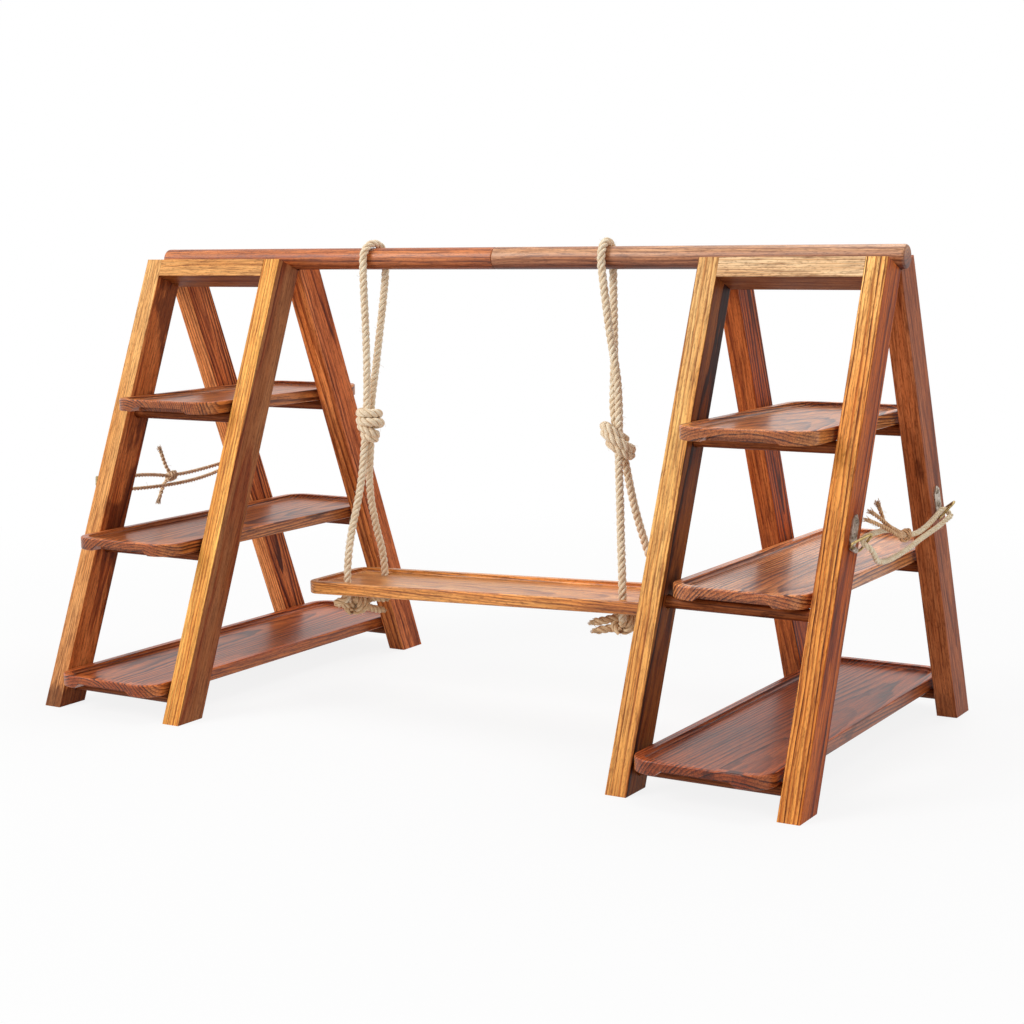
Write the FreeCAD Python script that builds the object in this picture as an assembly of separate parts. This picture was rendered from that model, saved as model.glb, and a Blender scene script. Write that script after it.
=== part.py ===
"""Tiered display stand: two folding ladder stands with loose trays, a bar across them and a swing tray."""
import FreeCAD
import Part
import math
import os

# All lengths are in millimetres and all angles in degrees.
# X runs along the bar, Y from the front to the back, Z up from the floor.

# Ladder stands
apex_height = 385.0
lean_angle = 22.0
leg_width = 18.0
leg_depth = 30.0
stand_width = 157.0
stand_spacing = 575.0
edge_round = 0.8

# Top rails with stub tenons
rail_height = 16.0
tenon_length = 8.0
tenon_shoulder = 4.0
joint_gap = 0.1

# Round rungs in blind sockets
rung_diameter = 10.0
lowest_rung_height = 17.3
rung_rise = 119.2
socket_depth = 10.0
socket_chamfer = 0.8

# Loose trays
tray_thickness = 11.0
tray_side_gap = 4.0
tray_seat_gap = 0.3
tray_corner = 20.0
tray_rim = 7.0
tray_recess = 4.0
tray_cove = 2.0
tray_edge_round = 1.2
low_tray_overhang = 32.0
mid_tray_overhang = 46.0
top_tray_overhang = 50.0
relief_width = 66.0
relief_height = 4.6
relief_depth = 12.0
relief_flare = 6.0

# How far back from the middle each tray has been pushed on its rungs
left_mid_tray_shift = -5.0
left_top_tray_shift = 8.0
right_mid_tray_shift = 30.0
right_top_tray_shift = -3.0

# Hinges hidden between the top rails
hinge_width = 30.0
hinge_inset = 12.5
leaf_thickness = 1.0
leaf_height = 11.0
leaf_gap = 0.2
knuckle_diameter = 4.0
pin_diameter = 2.0
pin_gap = 0.05
hinge_gap = 0.3
hinge_screw_diameter = 1.8
hinge_screw_head = 3.6
hinge_screw_length = 9.0
hinge_screw_drop = 7.0
hinge_screw_spread = 16.0

# Hanger plates with wire rings on the outer legs
plate_drop = 208.8
plate_length = 26.0
plate_width = 12.0
plate_thickness = 1.2
plate_nose = 5.0
barrel_length = 8.0
ring_wire = 2.0
ring_gap = 0.1
ring_width = 22.0
ring_reach = 20.0
ring_corner = 3.0
ring_angle = 135.0
plate_screw_spacing = 12.0
plate_screw_diameter = 2.4
plate_screw_head = 5.0
plate_screw_dome = 1.5
plate_screw_length = 10.0

# Bar made of two half poles on a hidden stud
bar_diameter = 19.0
bar_end_reach = 1.0
bar_shift = 4.0
bar_end_round = 2.0
bar_joint_round = 1.0
bar_seat_gap = 0.3
stud_diameter = 8.0
stud_length = 50.0

# Swing tray
swing_side_gap = 30.0
swing_width = 89.0
swing_thickness = 11.0
swing_corner = 14.0
swing_top_height = 112.0
swing_tilt = 1.9
rope_hole_diameter = 9.4
rope_hole_inset = 38.0
rope_hole_spread = 60.0
rope_hole_chamfer = 0.8

# Cords
rope_diameter = 7.0
twine_diameter = 3.0
waist_knot_diameter = 31.0
waist_knot_height = 33.0
waist_knot_neck = 20.0
tie_knot_diameter = 22.0
tie_knot_length = 66.0
twine_knot_diameter = 10.0
bend_share = 0.45
cut_overrun = 5.0

# Rope routes, from the tie under the tray up the front, over the bar and down the back
rope_left_route = [
    (-141.0, -30.0, 88.0),
    (-141.0, -30.0, 118.0),
    (-142.5, -20.0, 150.0),
    (-140.0, -6.5, 190.0),
    (-137.0, -4.0, 226.0),
    (-133.0, -4.2, 262.0),
    (-130.5, -6.0, 300.0),
    (-129.0, -9.0, 340.0),
    (-127.5, -12.8, 376.0),
    (-126.8, -13.4, 392.0),
    (-126.5, -13.3, 401.1),
    (-125.0, -5.5, 408.9),
    (-123.0, 5.5, 408.9),
    (-121.5, 13.3, 401.1),
    (-121.2, 13.4, 391.0),
    (-122.0, 13.0, 374.0),
    (-125.0, 9.5, 340.0),
    (-129.0, 6.0, 300.0),
    (-133.5, 4.2, 262.0),
    (-135.5, 4.0, 226.0),
    (-141.0, 6.5, 190.0),
    (-143.5, 20.0, 150.0),
    (-141.0, 30.0, 118.0),
    (-141.0, 30.0, 88.0),
]
rope_right_route = [
    (141.0, -30.0, 97.0),
    (141.0, -30.0, 127.0),
    (135.5, -22.0, 157.0),
    (129.5, -12.0, 193.0),
    (122.5, -4.2, 229.0),
    (118.5, -4.0, 263.0),
    (121.5, -5.5, 297.0),
    (117.0, -8.5, 333.0),
    (113.0, -12.8, 371.0),
    (111.3, -13.4, 390.0),
    (110.6, -13.3, 401.1),
    (109.9, -5.5, 408.9),
    (109.1, 5.5, 408.9),
    (108.5, 13.3, 401.1),
    (108.3, 13.4, 390.0),
    (108.8, 12.8, 371.0),
    (111.2, 8.5, 333.0),
    (113.0, 5.2, 297.0),
    (115.5, 4.2, 263.0),
    (124.0, 4.0, 227.0),
    (127.0, 12.0, 192.0),
    (133.5, 22.0, 157.0),
    (141.0, 30.0, 127.0),
    (141.0, 30.0, 97.0),
]
waist_knot_left_place = (-133.5, 0.0, 247.0)
waist_knot_right_place = (120.0, 0.0, 244.0)
tie_knot_left_place = (-145.0, 0.0, 84.0)
tie_knot_right_place = (136.0, 0.0, 93.0)

# Twine routes, from the knot round the front ring and the back ring to the knot again
# Each is given for a stand at the middle with its rings on the side of greater X
twine_right_route = [
    (86.0, -6.0, 182.5),
    (86.3, -20.0, 186.0),
    (86.0, -44.0, 189.8),
    (84.6, -66.0, 191.2),
    (84.2, -80.0, 192.2),
    (84.4, -88.2, 191.8),
    (85.5, -91.7, 189.9),
    (88.4, -92.8, 187.2),
    (91.5, -90.8, 185.3),
    (91.8, -84.0, 180.5),
    (91.0, -76.0, 173.0),
    (89.5, -52.0, 166.5),
    (88.0, -24.0, 165.0),
    (88.0, 2.0, 167.0),
    (88.0, 28.0, 173.5),
    (88.6, 54.0, 178.0),
    (90.0, 72.0, 182.0),
    (91.3, 82.5, 184.2),
    (91.5, 90.8, 185.3),
    (88.4, 92.8, 187.2),
    (85.5, 91.7, 189.9),
    (84.4, 88.2, 191.8),
    (84.2, 80.0, 191.4),
    (84.2, 66.5, 188.0),
    (85.2, 44.0, 183.5),
    (86.0, 20.0, 180.5),
    (86.1, 6.0, 181.6),
]
twine_left_route = [
    (86.0, -4.0, 187.2),
    (86.2, -19.0, 190.0),
    (85.6, -44.0, 192.8),
    (84.5, -66.0, 193.2),
    (84.2, -80.0, 192.6),
    (84.4, -88.2, 191.8),
    (85.5, -91.7, 189.9),
    (88.4, -92.8, 187.2),
    (91.5, -90.8, 185.3),
    (91.4, -83.0, 183.2),
    (90.2, -70.0, 181.2),
    (88.6, -44.0, 179.4),
    (87.6, -16.0, 178.2),
    (87.5, 14.0, 177.8),
    (88.2, 42.0, 178.8),
    (89.4, 66.0, 181.0),
    (91.2, 82.0, 183.3),
    (91.5, 90.8, 185.3),
    (88.4, 92.8, 187.2),
    (85.5, 91.7, 189.9),
    (84.4, 88.2, 191.8),
    (84.2, 80.0, 191.6),
    (84.4, 66.0, 190.0),
    (85.4, 42.0, 188.0),
    (86.0, 22.0, 186.8),
    (86.1, 8.0, 187.0),
]
twine_knot_right_place = (86.0, 0.0, 182.0)
twine_knot_left_place = (86.0, 2.0, 187.0)
twine_right_tails = [
    [(86.0, 0.0, 182.0), (89.0, -14.0, 190.0), (88.5, -32.0, 199.0), (87.0, -58.0, 208.0)],
    [(86.0, 0.0, 182.0), (91.0, -12.0, 186.5), (91.5, -34.0, 193.5), (90.0, -66.0, 201.0)],
]
twine_left_tails = [
    [(86.0, 2.0, 187.0), (88.0, -4.0, 194.0), (88.5, -7.0, 203.0), (88.0, -9.0, 214.0)],
    [(86.0, 2.0, 187.0), (89.5, -5.0, 183.5), (91.5, -8.0, 177.0), (91.0, -11.0, 168.0)],
]

# Values that follow from the sizes above
lean = math.radians(lean_angle)
outer_half = stand_width / 2
inner_half = outer_half - leg_width
pin_reach = leaf_thickness + leaf_gap
pin_drop = pin_reach / math.sin(lean)
pin_height = apex_height - pin_drop
pin_along = pin_drop * math.cos(lean)
rung_radius = rung_diameter / 2
rung_heights = {
    "low": lowest_rung_height,
    "mid": lowest_rung_height + rung_rise,
    "top": lowest_rung_height + 2 * rung_rise,
}
tray_overhangs = {"low": low_tray_overhang, "mid": mid_tray_overhang, "top": top_tray_overhang}
tray_shifts = {
    ("left", "mid"): left_mid_tray_shift,
    ("left", "top"): left_top_tray_shift,
    ("right", "mid"): right_mid_tray_shift,
    ("right", "top"): right_top_tray_shift,
}
hinge_spread = 2 * (inner_half - hinge_inset) - hinge_width
tray_width = 2 * (inner_half - tray_side_gap)
bar_radius = bar_diameter / 2
bar_length = stand_spacing + stand_width + 2 * bar_end_reach
bar_height = apex_height + (bar_radius + bar_seat_gap) / math.cos(lean)
swing_length = stand_spacing - stand_width - 2 * swing_side_gap
barrel_radius = ring_wire / 2 + ring_gap + plate_thickness
barrel_along = plate_drop + plate_length / 2 + ring_gap

X = FreeCAD.Vector(1, 0, 0)
Y = FreeCAD.Vector(0, 1, 0)
Z = FreeCAD.Vector(0, 0, 1)
ORIGIN = FreeCAD.Vector(0, 0, 0)


def down_leg(turn):
    """Unit vector down a frame: turn is -1 for the front frame and 1 for the back one."""
    return FreeCAD.Vector(0, turn * math.sin(lean), -math.cos(lean))


def out_leg(turn):
    """Unit vector from the inner face of a frame to its outer face."""
    return FreeCAD.Vector(0, turn * math.cos(lean), math.sin(lean))


def place(turn, along, out, across):
    """Point of a frame from its distance down the inner face, out from it and along X."""
    return Z * apex_height + down_leg(turn) * along + out_leg(turn) * out + X * across


def along_at(height, out):
    """Distance down the inner face of the point at this height, this far out from the face."""
    return (apex_height + out * math.sin(lean) - height) / math.cos(lean)


def slab(turn, along, out, across):
    """Block of a frame between two limits down the face, out from it and along X."""
    corners = [(along[0], out[0]), (along[1], out[0]), (along[1], out[1]), (along[0], out[1])]
    points = [place(turn, down, away, across[0]) for down, away in corners]
    face = Part.Face(Part.makePolygon(points + points[:1]))
    return face.extrude(X * (across[1] - across[0]))


def rod(diameter, start, end):
    """Round rod between two points."""
    run = end - start
    return Part.makeCylinder(diameter / 2, run.Length, start, run)


def joined(shapes):
    """One solid from shapes that overlap or share faces."""
    whole = shapes[0].fuse(shapes[1:])
    return whole.removeSplitter()


def cut_all(shape, tools):
    """Shape with every tool taken away."""
    return shape.cut(tools) if tools else shape


def save(name, shapes):
    """Write one node: a single solid or a group of like solids."""
    solids = []
    for shape in shapes:
        solids.extend(shape.Solids)
    node = solids[0] if len(solids) == 1 else Part.makeCompound(solids)
    node.exportStep("parts/" + name + ".step")


def rung_centre(turn, level, across):
    """Centre of a rung, in the middle of the leg depth."""
    out = leg_depth / 2
    return place(turn, along_at(rung_heights[level], out), out, across)


def make_leg(turn, side):
    """One leg with its square top, flat foot, rail mortise and rung sockets."""
    outline = [
        place(turn, 0, 0, 0),
        place(turn, along_at(0, 0), 0, 0),
        place(turn, along_at(0, leg_depth), leg_depth, 0),
        place(turn, 0, leg_depth, 0),
    ]
    face = Part.Face(Part.makePolygon(outline + outline[:1]))
    leg = face.extrude(X * leg_width)
    direction = down_leg(turn)
    long_edges = []
    for edge in leg.Edges:
        run = edge.Vertexes[1].Point - edge.Vertexes[0].Point
        if abs(run.dot(direction)) > run.Length * math.cos(lean):
            long_edges.append(edge)
    leg = leg.makeFillet(edge_round, long_edges)
    leg.translate(X * (inner_half if side > 0 else -outer_half))
    mouth = side * inner_half
    deep = side * (inner_half + tenon_length + joint_gap)
    mortise = slab(
        turn,
        (tenon_shoulder - joint_gap, rail_height - tenon_shoulder + joint_gap),
        (tenon_shoulder - joint_gap, leg_depth - tenon_shoulder + joint_gap),
        sorted((mouth - side * cut_overrun, deep)),
    )
    tools = [mortise]
    for level in rung_heights:
        start = rung_centre(turn, level, mouth)
        bottom = rung_centre(turn, level, side * (inner_half + socket_depth + joint_gap))
        tools.append(rod(rung_diameter + 2 * joint_gap, start, bottom))
        socket_radius = rung_radius + joint_gap
        tools.append(Part.makeCone(
            socket_radius + socket_chamfer, socket_radius, socket_chamfer, start, X * side))
    return cut_all(leg, tools)


def make_rail(turn):
    """Top rail between the legs, with a stub tenon at each end."""
    rail = slab(turn, (0, rail_height), (0, leg_depth), (-inner_half, inner_half))
    reach = inner_half + tenon_length
    tenon = slab(
        turn,
        (tenon_shoulder, rail_height - tenon_shoulder),
        (tenon_shoulder, leg_depth - tenon_shoulder),
        (-reach, reach),
    )
    return joined([rail, tenon])


def make_rung(turn, level):
    """Round rung that ends in both sockets."""
    reach = inner_half + socket_depth
    return rod(rung_diameter, rung_centre(turn, level, -reach), rung_centre(turn, level, reach))


def pin_point(across):
    """Point of the hinge axis."""
    return FreeCAD.Vector(across, 0, pin_height)


def knuckle_span(middle, row):
    """Limits along X of the left, middle or right knuckle of one hinge."""
    step = hinge_width / 3
    start = middle - hinge_width / 2 + row * step
    return start + hinge_gap / 2, start + step - hinge_gap / 2


def knuckle(middle, row, growth):
    """Knuckle of a hinge, grown by a gap where it is used to clear the other leaf."""
    low, high = knuckle_span(middle, row)
    return rod(knuckle_diameter + 2 * growth, pin_point(low - growth), pin_point(high + growth))


def hinge_screw_line(turn, across, start_out, end_out):
    """Two points on the axis of a hinge screw."""
    along = pin_along + hinge_screw_drop
    return place(turn, along, start_out, across), place(turn, along, end_out, across)


def hinge_screw(turn, across, gap):
    """Countersunk hinge screw, or its hole when a gap is given."""
    head, neck = hinge_screw_line(turn, across, -leaf_thickness, 0)
    tip = hinge_screw_line(turn, across, 0, hinge_screw_length + gap)[1]
    cone = Part.makeCone(
        hinge_screw_head / 2 + gap, hinge_screw_diameter / 2 + gap, leaf_thickness, head, neck - head)
    return joined([cone, rod(hinge_screw_diameter + 2 * gap, neck, tip)])


def hinge_screw_places():
    """Places along X of the hinge screws of one frame."""
    places = []
    for hinge in (-hinge_spread / 2, hinge_spread / 2):
        places += [hinge - hinge_screw_spread / 2, hinge + hinge_screw_spread / 2]
    return places


def make_leaf(turn, middle):
    """Hinge leaf flat on the inner rail face: the front one has the end knuckles."""
    plate = slab(
        turn,
        (pin_along, pin_along + leaf_height),
        (-leaf_thickness, 0),
        (middle - hinge_width / 2, middle + hinge_width / 2),
    )
    own_rows = (0, 2) if turn < 0 else (1,)
    other_rows = (1,) if turn < 0 else (0, 2)
    plate = cut_all(plate, [knuckle(middle, row, hinge_gap) for row in other_rows])
    leaf = joined([plate] + [knuckle(middle, row, 0) for row in own_rows])
    bore = rod(
        pin_diameter + 2 * pin_gap,
        pin_point(middle - hinge_width),
        pin_point(middle + hinge_width),
    )
    holes = [hinge_screw(turn, across, joint_gap) for across in hinge_screw_places()]
    return cut_all(leaf, [bore] + holes)


def make_pin(middle):
    """Hinge pin as long as the hinge."""
    half = hinge_width / 2
    return rod(pin_diameter, pin_point(middle - half), pin_point(middle + half))


def hinge_pockets():
    """Room in the rails round the hinge knuckles."""
    pockets = []
    for middle in (-hinge_spread / 2, hinge_spread / 2):
        half = hinge_width / 2 + hinge_gap
        pockets.append(rod(
            knuckle_diameter + 2 * hinge_gap, pin_point(middle - half), pin_point(middle + half)))
    return pockets


def plate_point(turn, side, along, across, out):
    """Point of a hanger plate: down the leg, across it and out from its face."""
    level = across * (1 if turn > 0 else -1)
    return place(turn, along, leg_depth / 2 + level, side * (outer_half + out))


def make_ring_plate(turn, side):
    """Strap plate on the leg, rolled at its lower end round the ring."""
    top = plate_drop - plate_length / 2
    half = plate_width / 2
    corners = [
        (top, half - plate_nose),
        (top + plate_nose, half),
        (barrel_along, half),
        (barrel_along, -half),
        (top + plate_nose, -half),
        (top, -half + plate_nose),
    ]
    points = [plate_point(turn, side, along, across, 0) for along, across in corners]
    strap = Part.Face(Part.makePolygon(points + points[:1])).extrude(X * side * plate_thickness)
    waist = [barrel_along - plate_nose, barrel_along + cut_overrun]
    shape = strap
    for edge in (-1, 1):
        trims = [
            (waist[0], edge * half),
            (waist[0] + (half - barrel_length / 2), edge * barrel_length / 2),
            (waist[1], edge * barrel_length / 2),
            (waist[1], edge * (half + cut_overrun)),
            (waist[0], edge * (half + cut_overrun)),
        ]
        outline = [plate_point(turn, side, along, across, -cut_overrun) for along, across in trims]
        trim = Part.Face(Part.makePolygon(outline + outline[:1]))
        shape = shape.cut(trim.extrude(X * side * (plate_thickness + 2 * cut_overrun)))
    ends = [
        plate_point(turn, side, barrel_along, edge * barrel_length / 2, barrel_radius) for edge in (-1, 1)
    ]
    shape = joined([shape, rod(2 * barrel_radius, ends[0], ends[1])])
    reach = [
        plate_point(turn, side, barrel_along, edge * plate_width, barrel_radius) for edge in (-1, 1)
    ]
    holes = [rod(ring_wire + 2 * ring_gap, reach[0], reach[1])]
    for spot in (-1, 1):
        holes.append(plate_screw(turn, side, spot, joint_gap))
    return cut_all(shape, holes)


def plate_screw(turn, side, spot, gap):
    """Dome-headed plate screw, or the hole for its shank when a gap is given."""
    along = plate_drop + spot * plate_screw_spacing / 2 - plate_nose / 2
    seat = plate_point(turn, side, along, 0, plate_thickness)
    tip = plate_point(turn, side, along, 0, plate_thickness - plate_screw_length - gap)
    if gap > 0:
        return rod(plate_screw_diameter + 2 * gap, seat, tip)
    radius = plate_screw_head / 2
    ball = (radius * radius + plate_screw_dome * plate_screw_dome) / (2 * plate_screw_dome)
    crown = plate_point(turn, side, along, 0, plate_thickness + plate_screw_dome)
    dome = Part.makeSphere(ball, crown - X * side * ball)
    block = rod(plate_screw_head, seat, crown)
    return joined([dome.common(block), rod(plate_screw_diameter, seat, tip)])


def bent_path(points):
    """Edges of straight runs with an arc at each corner, and the radius of every arc."""
    edges = []
    radii = []
    last = points[0]
    for before, corner, after in zip(points, points[1:], points[2:]):
        back = (before - corner)
        ahead = (after - corner)
        reach = bend_share * min(back.Length, ahead.Length)
        back.normalize()
        ahead.normalize()
        start = corner + back * reach
        end = corner + ahead * reach
        half_turn = (math.pi - back.getAngle(ahead)) / 2
        radius = reach / math.tan(half_turn)
        radii.append(radius)
        middle = back + ahead
        middle.normalize()
        depth = radius / math.cos(half_turn) - radius
        edges.append(Part.LineSegment(last, start).toShape())
        edges.append(Part.Arc(start, corner + middle * depth, end).toShape())
        last = end
    edges.append(Part.LineSegment(last, points[-1]).toShape())
    return edges, radii


def tube(points, diameter):
    """Round tube along the route, its centre line length and its arc radii."""
    edges, radii = bent_path(points)
    path = Part.Wire(edges)
    start = points[0]
    ring = Part.Wire(Part.makeCircle(diameter / 2, start, points[1] - start))
    shape = path.makePipeShell([ring], True, False)
    return shape, path.Length, radii


def make_cord(name, points, diameter):
    """Cord along its route, with its bends and volume printed."""
    shape, length, radii = tube(points, diameter)
    solid = shape.Solids[0]
    section = math.pi * diameter * diameter / 4
    share = solid.Volume / (section * length)
    print(name, "length", round(length, 1), "smallest bends", [round(r, 1) for r in sorted(radii)[:6]])
    print(name, "volume against section times length", round(share, 4))
    return solid


def make_ring(turn, side):
    """Triangular wire ring through the barrel of its plate."""
    swing = math.radians(ring_angle)
    hub = plate_point(turn, side, barrel_along, 0, barrel_radius)
    across = out_leg(turn)
    away = down_leg(turn) * math.cos(swing) + X * side * math.sin(swing)
    base = [hub - across * (ring_width / 2), hub + across * (ring_width / 2)]
    corners = [base[0], base[1], hub + away * ring_reach]
    edges = []
    for index in range(3):
        before, corner, after = corners[index - 1], corners[index], corners[(index + 1) % 3]
        back = before - corner
        ahead = after - corner
        back.normalize()
        ahead.normalize()
        half_turn = (math.pi - back.getAngle(ahead)) / 2
        reach = ring_corner * math.tan(half_turn)
        middle = back + ahead
        middle.normalize()
        depth = ring_corner / math.cos(half_turn) - ring_corner
        edges.append((corner + back * reach, corner + middle * depth, corner + ahead * reach))
    path = []
    for index in range(3):
        start, bend, end = edges[index]
        path.append(Part.Arc(start, bend, end).toShape())
        path.append(Part.LineSegment(end, edges[(index + 1) % 3][0]).toShape())
    spine = Part.Wire(path)
    seam = edges[0][0]
    section = Part.Wire(Part.makeCircle(ring_wire / 2, seam, seam - edges[2][2]))
    return spine.makePipeShell([section], True, False)


def rounded_block(length_x, length_y, corner, bottom, top):
    """Upright block with rounded corners."""
    half_x = length_x / 2
    half_y = length_y / 2
    block = Part.makeBox(length_x, length_y, top - bottom, FreeCAD.Vector(-half_x, -half_y, bottom))
    upright = []
    for edge in block.Edges:
        box = edge.BoundBox
        if box.ZLength > box.XLength + box.YLength:
            upright.append(edge)
    return block.makeFillet(corner, upright)


def edges_at(shape, height):
    """Edges that lie flat at this height."""
    found = []
    for edge in shape.Edges:
        box = edge.BoundBox
        if abs(box.ZMin - height) < joint_gap and abs(box.ZMax - height) < joint_gap:
            found.append(edge)
    return found


def make_tray(length_x, length_y, thickness, corner):
    """Tray with a raised rim, its underside at height zero."""
    tray = rounded_block(length_x, length_y, corner, 0, thickness)
    tray = tray.makeFillet(tray_edge_round, edges_at(tray, thickness) + edges_at(tray, 0))
    floor = thickness - tray_recess
    recess = rounded_block(
        length_x - 2 * tray_rim, length_y - 2 * tray_rim, corner - tray_rim, floor, thickness + cut_overrun)
    recess = recess.makeFillet(tray_cove, edges_at(recess, floor))
    return tray.cut(recess)


def finger_relief(length_y, end):
    """Trapezoid cut under one short end of a tray."""
    half = relief_width / 2
    lower = half + relief_flare * cut_overrun / relief_height
    outline = [
        (-lower, -cut_overrun), (lower, -cut_overrun),
        (half - relief_flare, relief_height), (relief_flare - half, relief_height),
    ]
    inner = end * (length_y / 2 - relief_depth)
    points = [FreeCAD.Vector(across, inner, height) for across, height in outline]
    face = Part.Face(Part.makePolygon(points + points[:1]))
    return face.extrude(Y * end * (relief_depth + cut_overrun))


def make_loose_tray(level):
    """Tray for one level of a stand, resting just above its rungs."""
    rung_out = rung_centre(1, level, 0).y
    length = 2 * (rung_out + tray_overhangs[level])
    tray = make_tray(tray_width, length, tray_thickness, tray_corner)
    tray = cut_all(tray, [finger_relief(length, end) for end in (-1, 1)])
    tray.translate(Z * (rung_heights[level] + rung_radius + tray_seat_gap))
    return tray


def make_swing_tray():
    """Hanging tray with four rope holes, a little higher at the right end."""
    tray = make_tray(swing_length, swing_width, swing_thickness, swing_corner)
    reach = swing_length / 2 - rope_hole_inset
    tools = []
    for across in (-reach, reach):
        for back in (-rope_hole_spread / 2, rope_hole_spread / 2):
            low = FreeCAD.Vector(across, back, -cut_overrun)
            high = FreeCAD.Vector(across, back, swing_thickness + cut_overrun)
            tools.append(rod(rope_hole_diameter, low, high))
            radius = rope_hole_diameter / 2
            tools.append(Part.makeCone(
                radius + rope_hole_chamfer, radius, rope_hole_chamfer, FreeCAD.Vector(across, back, 0), Z))
    tray = cut_all(tray, tools)
    tray.translate(Z * (swing_top_height - swing_thickness))
    tray.rotate(Z * swing_top_height, Y, -swing_tilt)
    return tray


def make_bar_half(side):
    """Half pole with a round outer end and a blind hole for the stud."""
    inner = FreeCAD.Vector(bar_shift, 0, bar_height)
    outer = inner + X * (side * bar_length / 2)
    pole = rod(bar_diameter, inner, outer)
    ends = {}
    for edge in pole.Edges:
        if edge.Closed:
            ends[abs(edge.CenterOfMass.x - bar_shift) > bar_radius] = edge
    pole = pole.makeFillet(bar_end_round, [ends[True]])
    joint = [edge for edge in pole.Edges if edge.Closed and abs(edge.CenterOfMass.x - bar_shift) < joint_gap]
    pole = pole.makeFillet(bar_joint_round, joint)
    reach = stud_length / 2 + joint_gap
    return pole.cut(rod(stud_diameter + 2 * joint_gap, inner, inner + X * side * reach))


def make_stud():
    """Hidden stud that joins the two half poles."""
    middle = FreeCAD.Vector(bar_shift, 0, bar_height)
    return rod(stud_diameter, middle - X * (stud_length / 2), middle + X * (stud_length / 2))


def make_waist_knot(spot):
    """Lump of the big knot half way down a rope: a barrel with narrower ends."""
    half = waist_knot_height / 2
    neck = waist_knot_neck / 2
    centre = FreeCAD.Vector(*spot)
    low = FreeCAD.Vector(neck, 0, -half)
    high = FreeCAD.Vector(neck, 0, half)
    bulge = FreeCAD.Vector(waist_knot_diameter / 2, 0, 0)
    side = Part.Arc(low, bulge, high).toShape()
    bottom = Part.LineSegment(Z * -half, low).toShape()
    top = Part.LineSegment(high, Z * half).toShape()
    axis = Part.LineSegment(Z * half, Z * -half).toShape()
    face = Part.Face(Part.Wire([bottom, side, top, axis]))
    lump = face.revolve(ORIGIN, Z, 360)
    lump.translate(centre)
    return lump


def make_tie_knot(spot):
    """Lump of the tie under the swing tray, lying from the front hole to the back one."""
    centre = FreeCAD.Vector(*spot)
    radius = tie_knot_diameter / 2
    half = tie_knot_length / 2 - radius
    start = centre - Y * half
    end = centre + Y * half
    ends = [Part.makeSphere(radius, start), Part.makeSphere(radius, end)]
    return joined([rod(tie_knot_diameter, start, end)] + ends)


def make_twine_knot(spot, tails, shift):
    """Small twine knot with its loose tails."""
    parts = [Part.makeSphere(twine_knot_diameter / 2, spot + shift)]
    for tail in tails:
        points = [FreeCAD.Vector(*point) + shift for point in tail]
        parts.append(tube(points, twine_diameter)[0].Solids[0])
    return joined(parts)


def flipped(points, side):
    """Route with its X turned over for a stand whose rings are on the side of lesser X."""
    return [(side * point[0], point[1], point[2]) for point in points]


def build_stand(name, side, twine_route, knot_spot, tails):
    """All pieces of one stand: side is -1 for the left stand and 1 for the right one."""
    shift = X * (side * stand_spacing / 2)
    nodes = {}
    for word, turn in (("front", -1), ("back", 1)):
        plate_screws = [plate_screw(turn, side, spot, 0) for spot in (-1, 1)]
        plate_holes = [plate_screw(turn, side, spot, joint_gap) for spot in (-1, 1)]
        screw_places = hinge_screw_places()
        hinge_screws = [hinge_screw(turn, across, 0) for across in screw_places]
        hinge_holes = [hinge_screw(turn, across, joint_gap) for across in screw_places]
        for leg_word, leg_side in (("left", -1), ("right", 1)):
            leg = make_leg(turn, leg_side)
            nodes[word + "_leg_" + leg_word] = [cut_all(leg, plate_holes) if leg_side == side else leg]
        nodes[word + "_top_rail"] = [cut_all(make_rail(turn), hinge_pockets() + hinge_holes)]
        for level in rung_heights:
            nodes[word + "_rung_" + level] = [make_rung(turn, level)]
        hinges = (-hinge_spread / 2, hinge_spread / 2)
        nodes[word + "_hinge_leaves"] = [make_leaf(turn, middle) for middle in hinges]
        nodes[word + "_screws"] = hinge_screws + plate_screws
        nodes[word + "_ring_plate"] = [make_ring_plate(turn, side)]
        nodes[word + "_ring"] = [make_ring(turn, side)]
    nodes["hinge_pins"] = [make_pin(middle) for middle in (-hinge_spread / 2, hinge_spread / 2)]
    for level in rung_heights:
        tray = make_loose_tray(level)
        tray.translate(Y * tray_shifts.get((name, level), 0))
        nodes["tray_" + level] = [tray]
    route = [FreeCAD.Vector(*point) for point in flipped(twine_route, side)]
    cord = make_cord(name + " tie cord", route, twine_diameter)
    spot = FreeCAD.Vector(*flipped([knot_spot], side)[0])
    knot = make_twine_knot(spot, [flipped(tail, side) for tail in tails], ORIGIN)
    nodes["tie_cord"] = [cord]
    nodes["tie_knot"] = [knot.cut(cord)]
    for node, shapes in nodes.items():
        for shape in shapes:
            shape.translate(shift)
        save(name + "_" + node, shapes)


def build_swing():
    """Bar, swing tray, both ropes and their knots."""
    save("bar_left", [make_bar_half(-1)])
    save("bar_right", [make_bar_half(1)])
    save("bar_stud", [make_stud()])
    save("swing_tray", [make_swing_tray()])
    ropes = (
        ("rope_left", rope_left_route, waist_knot_left_place, tie_knot_left_place),
        ("rope_right", rope_right_route, waist_knot_right_place, tie_knot_right_place),
    )
    for name, route, waist, tie in ropes:
        rope = make_cord(name, [FreeCAD.Vector(*point) for point in route], rope_diameter)
        save(name, [rope])
        knots = [make_waist_knot(waist).cut(rope), make_tie_knot(tie).cut(rope)]
        save(name + "_knots", knots)


os.makedirs("parts", exist_ok=True)
build_stand("left", -1, twine_left_route, twine_knot_left_place, twine_left_tails)
build_stand("right", 1, twine_right_route, twine_knot_right_place, twine_right_tails)
build_swing()
print("bar height", round(bar_height, 2), "hinge axis height", round(pin_height, 3), "tray width", tray_width)
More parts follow.
